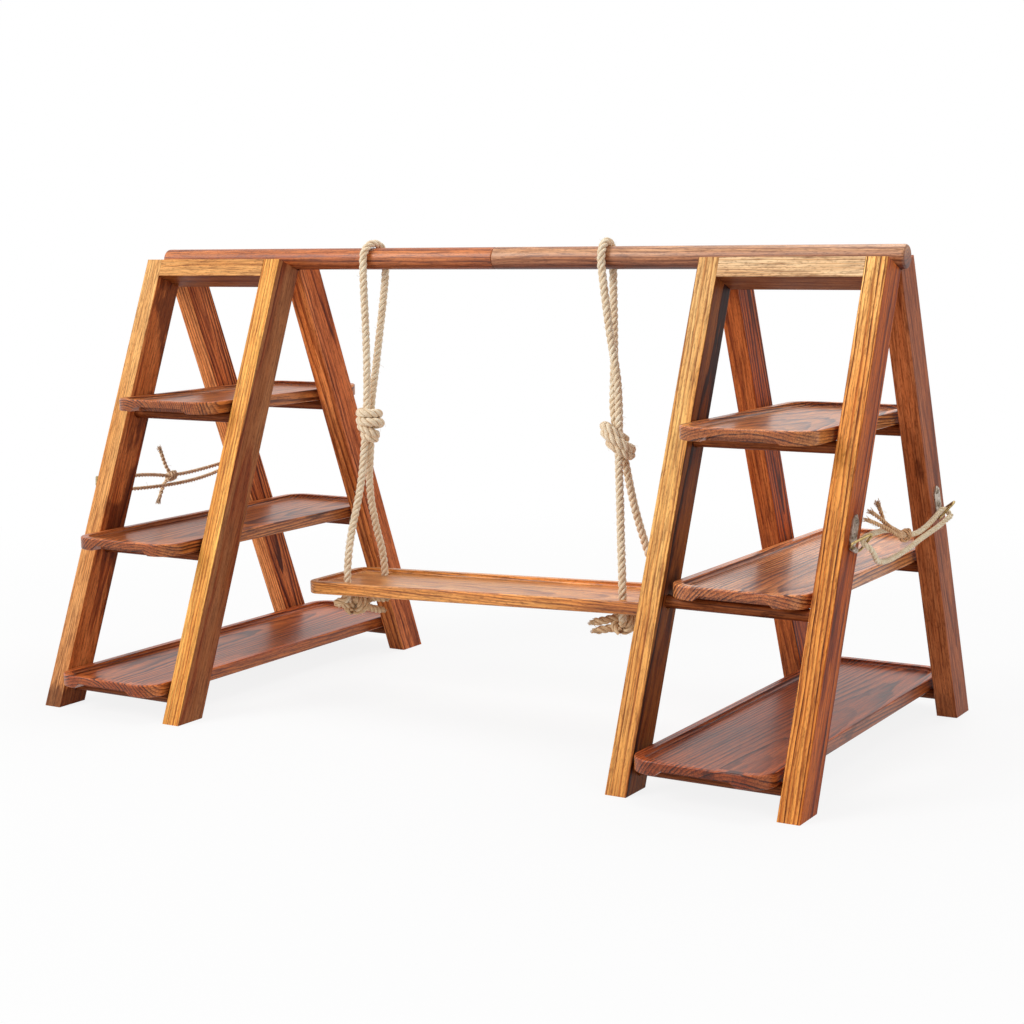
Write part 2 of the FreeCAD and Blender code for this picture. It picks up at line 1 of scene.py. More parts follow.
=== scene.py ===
# %% [markdown]
# A tiered display stand: two folding ladder stands carry loose wooden trays, a pole lies across
# their tops, and a swing tray hangs from the pole on two knotted jute ropes.
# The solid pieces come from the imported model, already in their places and in metres.
# This script dresses them: it adds rope, twine, knots and the finishes that a photograph shows.

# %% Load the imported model
import bpy
import math
from mathutils import Matrix, Vector


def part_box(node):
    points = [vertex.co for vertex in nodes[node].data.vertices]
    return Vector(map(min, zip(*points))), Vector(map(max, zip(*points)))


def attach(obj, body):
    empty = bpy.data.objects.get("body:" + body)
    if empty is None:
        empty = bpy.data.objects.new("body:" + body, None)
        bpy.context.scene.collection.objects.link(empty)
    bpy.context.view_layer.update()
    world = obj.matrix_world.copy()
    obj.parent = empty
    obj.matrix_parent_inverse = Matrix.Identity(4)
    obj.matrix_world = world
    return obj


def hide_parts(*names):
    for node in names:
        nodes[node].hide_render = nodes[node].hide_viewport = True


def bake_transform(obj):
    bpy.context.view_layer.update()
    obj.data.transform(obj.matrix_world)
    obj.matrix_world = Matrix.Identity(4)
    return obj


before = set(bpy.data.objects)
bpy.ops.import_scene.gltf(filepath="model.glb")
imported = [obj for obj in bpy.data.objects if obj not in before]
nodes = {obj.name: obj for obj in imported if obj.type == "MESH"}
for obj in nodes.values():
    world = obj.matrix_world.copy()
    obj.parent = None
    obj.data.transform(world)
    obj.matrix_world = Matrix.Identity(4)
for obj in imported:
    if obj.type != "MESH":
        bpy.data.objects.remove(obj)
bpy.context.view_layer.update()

scene = bpy.context.scene
MM = 0.001

# %% [markdown]
# The camera stands where the photographer stood. One could turn it by eye until the picture fits,
# but its place and angle were worked out from the corners of the two stands, so the render can be
# laid over the photograph. A long lens keeps the lines nearly parallel, and depth of field stays off.

# %% Camera
FOCAL_PIXELS = 1914.32
IMAGE_PIXELS = 1024
SENSOR_WIDTH = 36.0
CAMERA_PLACE = Vector((875.617, -1406.694, 418.528)) * MM
CAMERA_YAW, CAMERA_PITCH, CAMERA_ROLL = 0.54833, -0.14575, -0.01304

camera_data = bpy.data.cameras.new("photo_camera")
camera_data.sensor_fit = "HORIZONTAL"
camera_data.sensor_width = SENSOR_WIDTH
camera_data.lens = FOCAL_PIXELS / IMAGE_PIXELS * SENSOR_WIDTH
camera_data.clip_end = 50.0
camera = bpy.data.objects.new("photo_camera", camera_data)
scene.collection.objects.link(camera)
forward = Vector((
    -math.sin(CAMERA_YAW) * math.cos(CAMERA_PITCH),
    math.cos(CAMERA_YAW) * math.cos(CAMERA_PITCH),
    math.sin(CAMERA_PITCH),
))
level = Vector((math.cos(CAMERA_YAW), math.sin(CAMERA_YAW), 0.0))
upright = level.cross(forward)
right = level * math.cos(CAMERA_ROLL) + upright * math.sin(CAMERA_ROLL)
up = upright * math.cos(CAMERA_ROLL) - level * math.sin(CAMERA_ROLL)
camera_turn = Matrix((right, up, -forward)).transposed().to_4x4()
camera.matrix_world = Matrix.Translation(CAMERA_PLACE) @ camera_turn
scene.camera = camera
print("camera lens", round(camera_data.lens, 1), "mm")

# %% [markdown]
# The stand was photographed on white under soft studio light. A picture of a studio could light it,
# but three plain lamps are easier to follow: a large one at the front left makes the front faces
# bright and leaves the right-hand sides darker, a weaker one fills from the right, and one hangs
# overhead.

# %% Lamps
LAMP_TARGET = Vector((0.0, 0.0, 0.2))


def area_lamp(name, place, size, power):
    """Soft square lamp that looks at the middle of the stand."""
    data = bpy.data.lights.new(name, "AREA")
    data.shape = "SQUARE"
    data.size = size
    data.energy = power
    lamp = bpy.data.objects.new(name, data)
    lamp.location = place
    lamp.rotation_euler = (LAMP_TARGET - Vector(place)).to_track_quat("-Z", "Y").to_euler()
    scene.collection.objects.link(lamp)


area_lamp("key_softbox", (-1.5, -2.2, 1.9), 1.5, 58.0)
area_lamp("fill_softbox", (2.4, -1.0, 1.4), 1.4, 8.0)
area_lamp("top_softbox", (0.2, 0.9, 2.4), 1.8, 30.0)
scene.view_settings.view_transform = "Standard"
print("three lamps")

# %% [markdown]
# Node trees are built in code throughout. Linking every node by hand makes long scripts, so a few
# helpers make a node, its settings and its inputs in one call.


# %% Helpers for node trees
def fill(tree, node, values):
    """Inputs of a node by name or number: links from other sockets, or constants on the node."""
    for name, value in values.items():
        if isinstance(value, bpy.types.NodeSocket):
            tree.links.new(value, node.inputs[name])
        else:
            node.inputs[name].default_value = value


def make_node(tree, kind, values=(), **settings):
    """New node: its settings come first, because they decide which inputs it has."""
    node = tree.nodes.new(kind)
    for setting, choice in settings.items():
        setattr(node, setting, choice)
    fill(tree, node, dict(values))
    return node


def math_node(tree, operation, first, second=0.0):
    """Result of a sum on numbers or sockets."""
    return make_node(tree, "ShaderNodeMath", {0: first, 1: second}, operation=operation).outputs[0]


def times(tree, first, second):
    """Product of two numbers or sockets."""
    return math_node(tree, "MULTIPLY", first, second)


def plus(tree, first, second):
    """Sum of two numbers or sockets."""
    return math_node(tree, "ADD", first, second)


def vector_node(tree, operation, first, second=None):
    """Result of a sum on vectors: a vector, or a number for a length, a distance or a dot product."""
    values = {0: first}
    if second is not None:
        values["Scale" if operation == "SCALE" else 1] = second
    node = make_node(tree, "ShaderNodeVectorMath", values, operation=operation)
    return node.outputs["Value" if operation in ("LENGTH", "DISTANCE", "DOT_PRODUCT") else "Vector"]


def empty_tree(owner):
    """Cleared node tree of a world or a material."""
    owner.use_nodes = True
    owner.node_tree.nodes.clear()
    return owner.node_tree


print("node helpers ready")

# %% [markdown]
# A white world gives the even rest of the light. The camera and shiny surfaces see it fully white,
# and it lights everything else more weakly, so that the pale rope doesn't burn out.

# %% White world
WHITE = (1.0, 1.0, 1.0, 1.0)
WORLD_LIGHT = 0.4


def seen_rays(tree):
    """One for rays from the camera and from shiny or clear surfaces, zero for the light on surfaces."""
    paths = make_node(tree, "ShaderNodeLightPath").outputs
    seen = math_node(tree, "MAXIMUM", paths["Is Camera Ray"], paths["Is Glossy Ray"])
    return math_node(tree, "MAXIMUM", seen, paths["Is Transmission Ray"])


def lit_or_seen(tree, output, share, lit, seen):
    """Surface that is one shader for the light and, by a share, another for the eye."""
    choose = make_node(tree, "ShaderNodeMixShader", {0: share, 1: lit.outputs[0], 2: seen.outputs[0]})
    make_node(tree, output, {"Surface": choose.outputs[0]})


scene.world = bpy.data.worlds.new("studio")
tree = empty_tree(scene.world)
soft = make_node(tree, "ShaderNodeBackground", {"Color": WHITE, "Strength": WORLD_LIGHT})
white = make_node(tree, "ShaderNodeBackground", {"Color": WHITE, "Strength": 1.0})
lit_or_seen(tree, "ShaderNodeOutputWorld", seen_rays(tree), soft, white)
print("white world")

# %% [markdown]
# The floor is a plain pale sheet. Close to the stand it is mostly white and still takes a faint
# shadow, and further out it turns fully white, so that no edge shows between floor and background.
# A curved backdrop would hide that edge too, but only from the front.

# %% Floor
FLOOR_REACH = 8.0
FLOOR_CORNERS = ((-1, -1), (1, -1), (1, 1), (-1, 1))
FLOOR_GREY = (0.8, 0.8, 0.8, 1.0)
floor_mesh = bpy.data.meshes.new("studio_floor")
corners = [(x * FLOOR_REACH, y * FLOOR_REACH, 0.0) for x, y in FLOOR_CORNERS]
floor_mesh.from_pydata(corners, [], [(0, 1, 2, 3)])
studio_floor = bpy.data.objects.new("studio_floor", floor_mesh)
scene.collection.objects.link(studio_floor)
floor_material = bpy.data.materials.new("studio_floor_white")
tree = empty_tree(floor_material)
coords = make_node(tree, "ShaderNodeTexCoord")
fade = make_node(tree, "ShaderNodeMapRange", {
    "Value": vector_node(tree, "LENGTH", coords.outputs["Object"]),
    "From Min": 0.45, "From Max": 1.3, "To Min": 0.86, "To Max": 1.0,
}, interpolation_type="SMOOTHSTEP")
matt = make_node(tree, "ShaderNodeBsdfDiffuse", {"Color": FLOOR_GREY})
glow = make_node(tree, "ShaderNodeEmission", {"Color": WHITE, "Strength": 1.0})
whiteness = times(tree, seen_rays(tree), fade.outputs[0])
lit_or_seen(tree, "ShaderNodeOutputMaterial", whiteness, matt, glow)
floor_mesh.materials.append(floor_material)
print("floor", 2 * FLOOR_REACH, "m wide")

# %% [markdown]
# Both ropes are one length each: up through the front hole of the swing tray, through the big knot,
# over the pole, back through the knot and down the back hole. A simulation could hang them, but the
# photograph shows how they lie, so the points below are given one by one: those of the solid model,
# some moved a few millimetres. A smooth spline uses them as control points, and the strands follow
# that spline.

# %% Rope and twine routes in millimetres
rope_left_route = [
    (-141, -30, 88), (-141, -30, 118), (-142.5, -20, 150), (-140, -6.5, 190),
    (-137, -4, 226), (-133, -4.2, 262), (-130.5, -6, 300), (-129, -9, 340),
    (-127.5, -12.8, 376), (-126.8, -13.4, 392), (-126.5, -13.3, 401.1), (-125, -5.5, 408.9),
    (-123, 5.5, 408.9), (-121.5, 13.3, 401.1), (-121.2, 13.4, 391), (-122, 13, 374),
    (-125, 9.5, 340), (-129, 6, 300), (-135, 4.2, 262), (-135.5, 4, 226),
    (-141, 6.5, 190), (-143.5, 20, 150), (-141, 30, 118), (-141, 30, 88),
]
rope_right_route = [
    (141, -30, 97), (141, -30, 127), (135.5, -22, 157), (129.5, -12, 193),
    (124, -4.2, 229), (124.7, -4, 263), (124.2, -5.5, 297), (118.6, -8.5, 333),
    (115.7, -12.8, 371), (113.6, -13.4, 390), (113.4, -13.3, 401.1), (112.6, -5.5, 408.9),
    (111.4, 5.5, 408.9), (110.6, 13.3, 401.1), (110.4, 13.4, 390), (110.7, 12.8, 371),
    (113.6, 8.5, 333), (115.1, 5.2, 297), (114, 4.2, 263), (126, 4, 227),
    (128.5, 12, 192), (134, 22, 157), (141, 30, 127), (141, 30, 97),
]
twine_right_route = [
    (86, -6, 182.8), (86.3, -20, 187.5), (86, -44, 192.4), (84.6, -66, 192.6),
    (84.2, -80, 192.4), (84.4, -88.2, 191.8), (85.5, -91.7, 189.9), (88.4, -92.8, 187.2),
    (91.5, -90.8, 185.3), (91.8, -84, 179.5), (91, -76, 173), (89.5, -54, 169.4),
    (88, -24, 169.6), (88, 2, 171.6), (88, 28, 175.2), (88.6, 54, 178),
    (90, 72, 181), (91.3, 82.5, 184.2), (91.5, 90.8, 185.3), (88.4, 92.8, 187.2),
    (85.5, 91.7, 189.9), (84.6, 88, 190.6), (84.4, 80, 188.4), (84.4, 66.5, 184.6),
    (85.3, 44, 181), (86, 20, 179.6), (86.1, 6, 181.4),
]
twine_left_route = [
    (86, -4, 187.2), (86.2, -19, 190), (85.6, -44, 192.8), (84.5, -66, 193.2),
    (84.2, -80, 192.6), (84.4, -88.2, 191.8), (85.5, -91.7, 189.9), (88.4, -92.8, 187.2),
    (91.5, -90.8, 185.3), (91.4, -83, 183.2), (90.2, -70, 181.2), (88.6, -44, 179.4),
    (87.6, -16, 178.2), (87.5, 14, 177.8), (88.2, 42, 178.8), (89.4, 66, 181),
    (91.2, 82, 183.3), (91.5, 90.8, 185.3), (88.4, 92.8, 187.2), (85.5, 91.7, 189.9),
    (84.4, 88.2, 191.8), (84.2, 80, 191.6), (84.4, 66, 190), (85.4, 42, 188),
    (86, 22, 186.8), (86.1, 8, 187),
]
print("routes with", len(rope_left_route), len(rope_right_route), len(twine_left_route), "points")


# %% Smooth line through a route
def smooth_line(name, points):
    """Curve object with one NURBS spline whose control points are the route, in metres."""
    data = bpy.data.curves.new(name, "CURVE")
    data.dimensions = "3D"
    spline = data.splines.new("NURBS")
    spline.points.add(len(points) - 1)
    for control, point in zip(spline.points, points):
        control.co = (point[0] * MM, point[1] * MM, point[2] * MM, 1.0)
    spline.order_u = 3
    spline.use_endpoint_u = True
    spline.resolution_u = 12
    line = bpy.data.objects.new(name, data)
    scene.collection.objects.link(line)
    return line


def plain_mesh(thing, name):
    """Plain mesh of an evaluated object."""
    graph = bpy.context.evaluated_depsgraph_get()
    mesh = bpy.data.meshes.new_from_object(thing.evaluated_get(graph), depsgraph=graph)
    mesh.name = name
    return mesh


def line_points(line):
    """Points along a smooth line."""
    mesh = plain_mesh(line, "line_points")
    points = [vertex.co.copy() for vertex in mesh.vertices]
    bpy.data.meshes.remove(mesh)
    return points


def line_length(points):
    """Length of a line through points."""
    return sum((b - a).length for a, b in zip(points, points[1:]))


print("line helpers ready")

# %% [markdown]
# Jute rope is laid: three fat strands run round each other in a steady helix. A bump on a plain tube
# would look flat along its edges, so the strands are real shapes. A node tree copies the line once
# for each strand, pushes each copy off the line by the same helix, and sweeps a round section along
# it. Every point keeps how far out it lies, so that the finish can paint shade into the hollows
# between the strands. The same tree makes the thin two-ply twine with other sizes.


# %% Helpers for geometry trees
def new_tree(name, sockets):
    """Geometry tree with named inputs, one geometry input and one geometry output."""
    group = bpy.data.node_groups.new(name, "GeometryNodeTree")
    group.interface.new_socket("Geometry", in_out="INPUT", socket_type="NodeSocketGeometry")
    for title, kind in sockets:
        group.interface.new_socket(title, in_out="INPUT", socket_type="NodeSocket" + kind)
    group.interface.new_socket("Geometry", in_out="OUTPUT", socket_type="NodeSocketGeometry")
    return group, group.nodes.new("NodeGroupInput").outputs


def keep(group, geometry, name, value, kind="FLOAT"):
    """Named number or vector on every point of a geometry."""
    values = {"Geometry": geometry, "Name": name, "Value": value}
    node = make_node(group, "GeometryNodeStoreNamedAttribute", values, data_type=kind, domain="POINT")
    return node.outputs[0]


def kept(group, name, kind="FLOAT"):
    """Number or vector that was kept under a name."""
    node = make_node(group, "GeometryNodeInputNamedAttribute", {"Name": name}, data_type=kind)
    return node.outputs["Attribute"]


def copies_of_line(group, given, amount):
    """Line with even steps, copied; each point keeps its run along the line and its copy's number."""
    values = {"Curve": given["Geometry"], "Length": given["Step"]}
    even = make_node(group, "GeometryNodeResampleCurve", values, mode="LENGTH")
    along = make_node(group, "GeometryNodeSplineParameter").outputs
    line = keep(group, even.outputs[0], "run", along["Length"])
    line = keep(group, line, "part", along["Factor"])
    values = {"Geometry": line, "Amount": amount}
    copies = make_node(group, "GeometryNodeDuplicateElements", values, domain="SPLINE").outputs
    return keep(group, copies["Geometry"], "strand", copies["Duplicate Index"])


def moved(group, geometry, offset):
    """Points pushed by an offset."""
    return make_node(group, "GeometryNodeSetPosition", {"Geometry": geometry, "Offset": offset}).outputs[0]


def swept(group, line, radius, sides):
    """Round section along a line, with its place round the section kept for the finish."""
    circle = make_node(group, "GeometryNodeCurvePrimitiveCircle", {"Resolution": sides, "Radius": radius})
    around = make_node(group, "GeometryNodeSplineParameter").outputs["Factor"]
    section = keep(group, circle.outputs["Curve"], "round", around)
    values = {"Curve": line, "Profile Curve": section, "Fill Caps": True}
    sweep = make_node(group, "GeometryNodeCurveToMesh", values)
    return make_node(group, "GeometryNodeSetShadeSmooth", {"Geometry": sweep.outputs[0]}).outputs[0]


def finished(group, given, geometry):
    """Ends a tree: plain geometry with its finish."""
    whole = make_node(group, "GeometryNodeRealizeInstances", {"Geometry": geometry})
    values = {"Geometry": whole.outputs[0], "Material": given["Material"]}
    finish = make_node(group, "GeometryNodeSetMaterial", values)
    make_node(group, "NodeGroupOutput", {"Geometry": finish.outputs[0]})


print("geometry helpers ready")


# %% Node tree for laid rope
def build_rope_tree():
    """Strands laid round a line."""
    group, given = new_tree("laid_rope", [
        ("Strands", "Int"), ("Rope radius", "Float"), ("Strand radius", "Float"), ("Lay length", "Float"),
        ("Step", "Float"), ("Sides", "Int"), ("Material", "Material")])
    spot = make_node(group, "GeometryNodeInputPosition").outputs[0]
    strands = copies_of_line(group, given, given["Strands"])
    strands = keep(group, strands, "core", spot, "FLOAT_VECTOR")
    turns = math_node(group, "DIVIDE", kept(group, "run"), given["Lay length"])
    share = math_node(group, "DIVIDE", kept(group, "strand"), given["Strands"])
    turned = make_node(group, "ShaderNodeVectorRotate", {
        "Vector": make_node(group, "GeometryNodeInputNormal").outputs[0],
        "Axis": make_node(group, "GeometryNodeInputTangent").outputs[0],
        "Angle": times(group, plus(group, turns, share), math.tau),
    }, rotation_type="AXIS_ANGLE")
    lift = math_node(group, "SUBTRACT", given["Rope radius"], given["Strand radius"])
    pushed = moved(group, strands, vector_node(group, "SCALE", turned.outputs[0], lift))
    rope = swept(group, pushed, given["Strand radius"], given["Sides"])
    reach = vector_node(group, "DISTANCE", spot, kept(group, "core", "FLOAT_VECTOR"))
    outer = math_node(group, "DIVIDE", reach, given["Rope radius"])
    finished(group, given, keep(group, rope, "outer", outer))
    return group


rope_tree = build_rope_tree()
print("rope tree with", len(rope_tree.nodes), "nodes")


# %% Run a node tree
def run_tree(thing, group, values, name):
    """Mesh that a node tree makes from an object: inputs are set by the identifiers of their sockets."""
    modifier = thing.modifiers.new(group.name, "NODES")
    modifier.node_group = group
    for item in group.interface.items_tree:
        if item.item_type == "SOCKET" and item.in_out == "INPUT" and item.name in values:
            modifier[item.identifier] = values[item.name]
    mesh = plain_mesh(thing, name)
    thing.modifiers.remove(modifier)
    return mesh


print("trees can run")

# %% [markdown]
# A cut jute end opens into loose fibres, and single fibres stand off the rope all along it. Hair
# curves could show them, but thin tubes stay with the model when it leaves Blender. The first tree
# copies a short line many times and lets the copies spread towards the end. The second scatters
# short bent hairs over the finished rope. Both have a fixed seed.

# %% Node tree for frayed ends
FIBRE_SIDES = 3
LATE_OPENING = 1.6
CURL_WAVES = 7.0
CURL_SIZE = 0.35


def random_vector(group, seed, size):
    """Random vector for each copy of a line."""
    whole = make_node(group, "FunctionNodeFloatToInt", {0: kept(group, "strand")})
    values = {"Min": (-size, -size, -size), "Max": (size, size, size), "Seed": seed, "ID": whole.outputs[0]}
    return make_node(group, "FunctionNodeRandomValue", values, data_type="FLOAT_VECTOR").outputs["Value"]


def build_fray_tree():
    """Loose fibres that leave the end of a cord and spread."""
    group, given = new_tree("frayed_end", [
        ("Fibres", "Int"), ("Root", "Float"), ("Spread", "Float"), ("Thickness", "Float"),
        ("Step", "Float"), ("Material", "Material")])
    fibres = copies_of_line(group, given, given["Fibres"])
    part = kept(group, "part")
    open_up = times(group, math_node(group, "POWER", part, LATE_OPENING), given["Spread"])
    curl = times(group, math_node(group, "SINE", times(group, part, CURL_WAVES)), open_up)
    for seed, size, growth in ((11, 1.0, given["Root"]), (23, 1.0, open_up), (37, CURL_SIZE, curl)):
        offset = vector_node(group, "SCALE", random_vector(group, seed, size), growth)
        fibres = moved(group, fibres, offset)
    tuft = swept(group, fibres, given["Thickness"], FIBRE_SIDES)
    finished(group, given, keep(group, tuft, "outer", 1.0))
    return group


fray_tree = build_fray_tree()
print("fray tree with", len(fray_tree.nodes), "nodes")

# %% Node tree for stray hairs
HAIR_BEND = {
    "Resolution": 4, "Start": (0.0, 0.0, -0.05), "Middle": (0.35, 0.05, 0.3), "End": (0.95, 0.15, 0.42),
}
SHORTEST, LONGEST = 0.35, 1.2


def build_hair_tree():
    """Short bent hairs that stand off a rope."""
    group, given = new_tree("stray_hairs", [
        ("Density", "Float"), ("Hair length", "Float"), ("Thickness", "Float"), ("Seed", "Int"),
        ("Material", "Material")])
    scatter = make_node(group, "GeometryNodeDistributePointsOnFaces", {
        "Mesh": given["Geometry"], "Density": given["Density"], "Seed": given["Seed"]}).outputs
    bend = make_node(group, "GeometryNodeCurveQuadraticBezier", HAIR_BEND)
    long = make_node(group, "ShaderNodeCombineXYZ", {axis: given["Hair length"] for axis in "XYZ"})
    values = {"Geometry": bend.outputs[0], "Scale": long.outputs[0]}
    sized = make_node(group, "GeometryNodeTransform", values)
    hair = swept(group, sized.outputs[0], given["Thickness"], FIBRE_SIDES)
    spin = make_node(group, "FunctionNodeRandomValue", {"Max": math.tau, "Seed": given["Seed"]})
    turn = make_node(group, "FunctionNodeAxisAngleToRotation", {
        "Axis": (0.0, 0.0, 1.0), "Angle": spin.outputs[1]})
    stand = make_node(group, "FunctionNodeRotateRotation", {
        "Rotation": scatter["Rotation"], "Rotate By": turn.outputs[0]}, rotation_space="LOCAL")
    size = make_node(group, "FunctionNodeRandomValue", {2: SHORTEST, 3: LONGEST})
    plant = make_node(group, "GeometryNodeInstanceOnPoints", {
        "Points": scatter["Points"], "Instance": keep(group, hair, "outer", 1.0),
        "Rotation": stand.outputs[0], "Scale": size.outputs[1]})
    finished(group, given, plant.outputs[0])
    return group


hair_tree = build_hair_tree()
print("hair tree with", len(hair_tree.nodes), "nodes")

# %% [markdown]
# Jute is pale straw with darker and lighter fibres along each strand. A pattern laid through space
# would cut across the twist. The strands carry their own length and their own place round the
# section as attributes, so the streaks can follow the twist instead.


# %% Helpers for finishes
def new_material(name):
    """Empty node material with its tree and main shader."""
    material = bpy.data.materials.new(name)
    tree = empty_tree(material)
    shader = make_node(tree, "ShaderNodeBsdfPrincipled")
    make_node(tree, "ShaderNodeOutputMaterial", {"Surface": shader.outputs[0]})
    return material, tree, shader


def colour_ramp(tree, factor, stops):
    """Colour ramp from a list of places and colours; a single number is a grey."""
    node = make_node(tree, "ShaderNodeValToRGB", {"Fac": factor})
    while len(node.color_ramp.elements) < len(stops):
        node.color_ramp.elements.new(0.5)
    for element, (place, colour) in zip(node.color_ramp.elements, stops):
        shade = colour if isinstance(colour, tuple) else (colour, colour, colour)
        element.position = place
        element.color = (*shade, 1.0)
    return node.outputs["Color"]


def noise(tree, vector, seed, detail, scale=1.0, roughness=0.6):
    """Noise factor on a vector; the seed is its fourth dimension."""
    values = {"Vector": vector, "W": seed, "Scale": scale, "Detail": detail, "Roughness": roughness}
    return make_node(tree, "ShaderNodeTexNoise", values, noise_dimensions="4D").outputs["Fac"]


def shaded(tree, colour, share, shade):
    """Colour times a shade, as far as a share from zero to one says."""
    tint = (*shade, 1.0) if isinstance(shade, tuple) else shade
    values = {0: share, 6: colour, 7: tint}
    return make_node(tree, "ShaderNodeMix", values, data_type="RGBA", blend_type="MULTIPLY").outputs[2]


def add_bump(tree, shader, height, strength, depth):
    """Small relief on a shader."""
    bump = make_node(tree, "ShaderNodeBump", {"Height": height, "Strength": strength, "Distance": depth})
    fill(tree, shader, {"Normal": bump.outputs[0]})


def kept_value(tree, name):
    """Number that a mesh carries under a name."""
    return make_node(tree, "ShaderNodeAttribute", attribute_name=name).outputs["Fac"]


print("finish helpers ready")

# %% Jute finish
STREAKS_PER_METRE = 160.0
STRAND_SHIFT = 7.3
PATCH_SHADES = [(0.3, (0.84, 0.77, 0.7)), (0.7, 1.0)]
FLECK_SHADES = [(0.35, (0.76, 0.66, 0.56)), (0.52, 1.0)]
# Painted shade for the hollows between the strands, by how far out a point lies.
PAINTED_GROOVE_SHADE = [(0.52, (0.36, 0.24, 0.15)), (0.72, (0.8, 0.73, 0.65)), (0.86, 1.0)]


def jute(name, dark, middle, pale, streaks, groove_shade_share=1.0):
    """Fibrous straw-coloured finish for rope and twine, with more or less painted shade between the
    strands.
    """
    material, tree, shader = new_material(name)
    place = make_node(tree, "ShaderNodeCombineXYZ", {
        "X": times(tree, kept_value(tree, "round"), streaks),
        "Y": times(tree, kept_value(tree, "run"), STREAKS_PER_METRE),
        "Z": times(tree, kept_value(tree, "strand"), STRAND_SHIFT)})
    fibres = noise(tree, place.outputs[0], seed=0.0, detail=4.0, roughness=0.7)
    spot = make_node(tree, "ShaderNodeTexCoord").outputs["Object"]
    patches = noise(tree, spot, seed=1.0, detail=3.0, scale=90.0)
    flecks = noise(tree, spot, seed=2.0, detail=2.0, scale=900.0)
    colour = colour_ramp(tree, fibres, [(0.3, dark), (0.48, middle), (0.66, pale)])
    colour = shaded(tree, colour, 0.7, colour_ramp(tree, patches, PATCH_SHADES))
    colour = shaded(tree, colour, 0.6, colour_ramp(tree, flecks, FLECK_SHADES))
    # Painted shade between the strands.
    colour = shaded(tree, colour, groove_shade_share, colour_ramp(tree, kept_value(tree, "outer"), PAINTED_GROOVE_SHADE))
    fill(tree, shader, {
        "Base Color": colour, "Roughness": 0.88, "Specular IOR Level": 0.2, "Sheen Weight": 0.25})
    add_bump(tree, shader, fibres, strength=0.5, depth=0.0006)
    return material


jute_rope = jute("jute_rope", (0.66, 0.43, 0.26), (1.0, 0.84, 0.61), (1.0, 0.96, 0.81), 9.0, 0.85)
# Darker, browner copy of the rope finish for the ties under the swing tray: painted shade.
jute_shaded = jute("jute_shaded", (0.44, 0.24, 0.11), (0.9, 0.62, 0.36), (1.0, 0.86, 0.6), 9.0)
jute_twine = jute("jute_twine", (0.52, 0.32, 0.18), (0.94, 0.7, 0.46), (1.0, 0.9, 0.72), 6.0)
jute_pale = jute("jute_pale", (0.72, 0.46, 0.25), (1.0, 0.86, 0.61), (1.0, 0.95, 0.78), 6.0, 0.4)
# Browner copy of the twine finish for the right knot and tails: painted shade.
jute_twine_shaded = jute("jute_twine_shaded", (0.36, 0.17, 0.07), (0.8, 0.46, 0.22), (0.98, 0.72, 0.46), 6.0)
print("jute finishes ready")

# %% [markdown]
# The two long ropes hang from the pole and carry the swing tray. Chains of short links could let
# them bend, but under a load they stay taut and sway with the tray. So each is one open spline, of the
# length that the photograph shows, that rides with the tray.

# %% Ropes over the pole
ROPE = {"Strands": 3, "Rope radius": 0.0036, "Strand radius": 0.00178, "Lay length": 0.017,
        "Step": 0.0009, "Sides": 8, "Material": jute_rope}


def new_piece(name, mesh):
    """Object at the origin for a finished mesh."""
    piece = bpy.data.objects.new(name, mesh)
    scene.collection.objects.link(piece)
    return piece


def along_route(name, route, tree, values):
    """Piece that a node tree makes along a route, and the points of its line."""
    line = smooth_line(name + "_line", route)
    points = line_points(line)
    mesh = run_tree(line, tree, values, name)
    bpy.data.objects.remove(line)
    return new_piece(name, mesh), points


ropes = {}
for side, route in (("left", rope_left_route), ("right", rope_right_route)):
    piece, points = along_route("jute_rope_" + side, route, rope_tree, ROPE)
    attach(piece, "swing")
    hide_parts("rope_" + side)
    length = line_length(points)
    ropes[side] = (piece, points, length)
    print(piece.name, "length", round(length, 3), "m,", len(piece.data.polygons), "faces")

# %% [markdown]
# Half way down, both runs of a rope are caught in one big knot. A true knot could be traced point by
# point, but most of it would be hidden. What shows is rope wound round the two runs, each turn
# leaning its own way, so only these turns are made. They are control points of one smooth line:
# every turn has a height, a lean, a radius and a push to one side, and the line passes smoothly
# from one turn to the next.

# %% Big knots
UPWARDS = (0.0, 0.0, 1.0)
LENGTHWISE = (0.0, 1.0, 0.0)
IMAGE_RIGHT = tuple(level)
KNOT_ROPE = {**ROPE, "Rope radius": 0.0042, "Strand radius": 0.0021}
knot_turns = {
    "left": [(11.1, 0.3, 8.2, -0.15), (2.9, 1.4, 10.2, 1.9),
             (-5.6, -2.8, 6.8, -0.15), (-12.0, -0.8, 4.7, 0.5)],
    "right": [(7.7, -4.9, 7.9, -3.8), (-0.5, -5.6, 11.7, 0.3), (-8.5, -4.4, 8.3, 2.5)],
}
knot_centres = {"left": (-134, 0, 247), "right": (121.3, 0, 244)}


def wound_route(centre, axis, outward, turns, start=0.25, points=10):
    """Route of a cord wound round a core: turns of height, lean, radius and push, in millimetres."""
    axis = Vector(axis).normalized()
    outward = (Vector(outward) - axis * Vector(outward).dot(axis)).normalized()
    aside = axis.cross(outward)
    route = []
    for index in range(len(turns) * points + 1):
        share = index / points
        place = min(max(share - 0.5, 0.0), len(turns) - 1.0)
        first = min(int(place), len(turns) - 2)
        height, lean, radius, push = (
            a + (b - a) * (place - first) for a, b in zip(turns[first], turns[first + 1]))
        angle = math.tau * (share + start)
        spot = Vector(centre) + axis * (height + lean * math.cos(angle)) + outward * push
        spot += (outward * math.cos(angle) + aside * math.sin(angle)) * radius
        route.append(tuple(spot))
    return route


knots = {}
for side in ("left", "right"):
    route = wound_route(knot_centres[side], UPWARDS, IMAGE_RIGHT, knot_turns[side])
    knots[side] = [along_route("big_knot_" + side, route, rope_tree, KNOT_ROPE)[0]]
    print("big knot", side, len(knots[side][0].data.polygons), "faces")
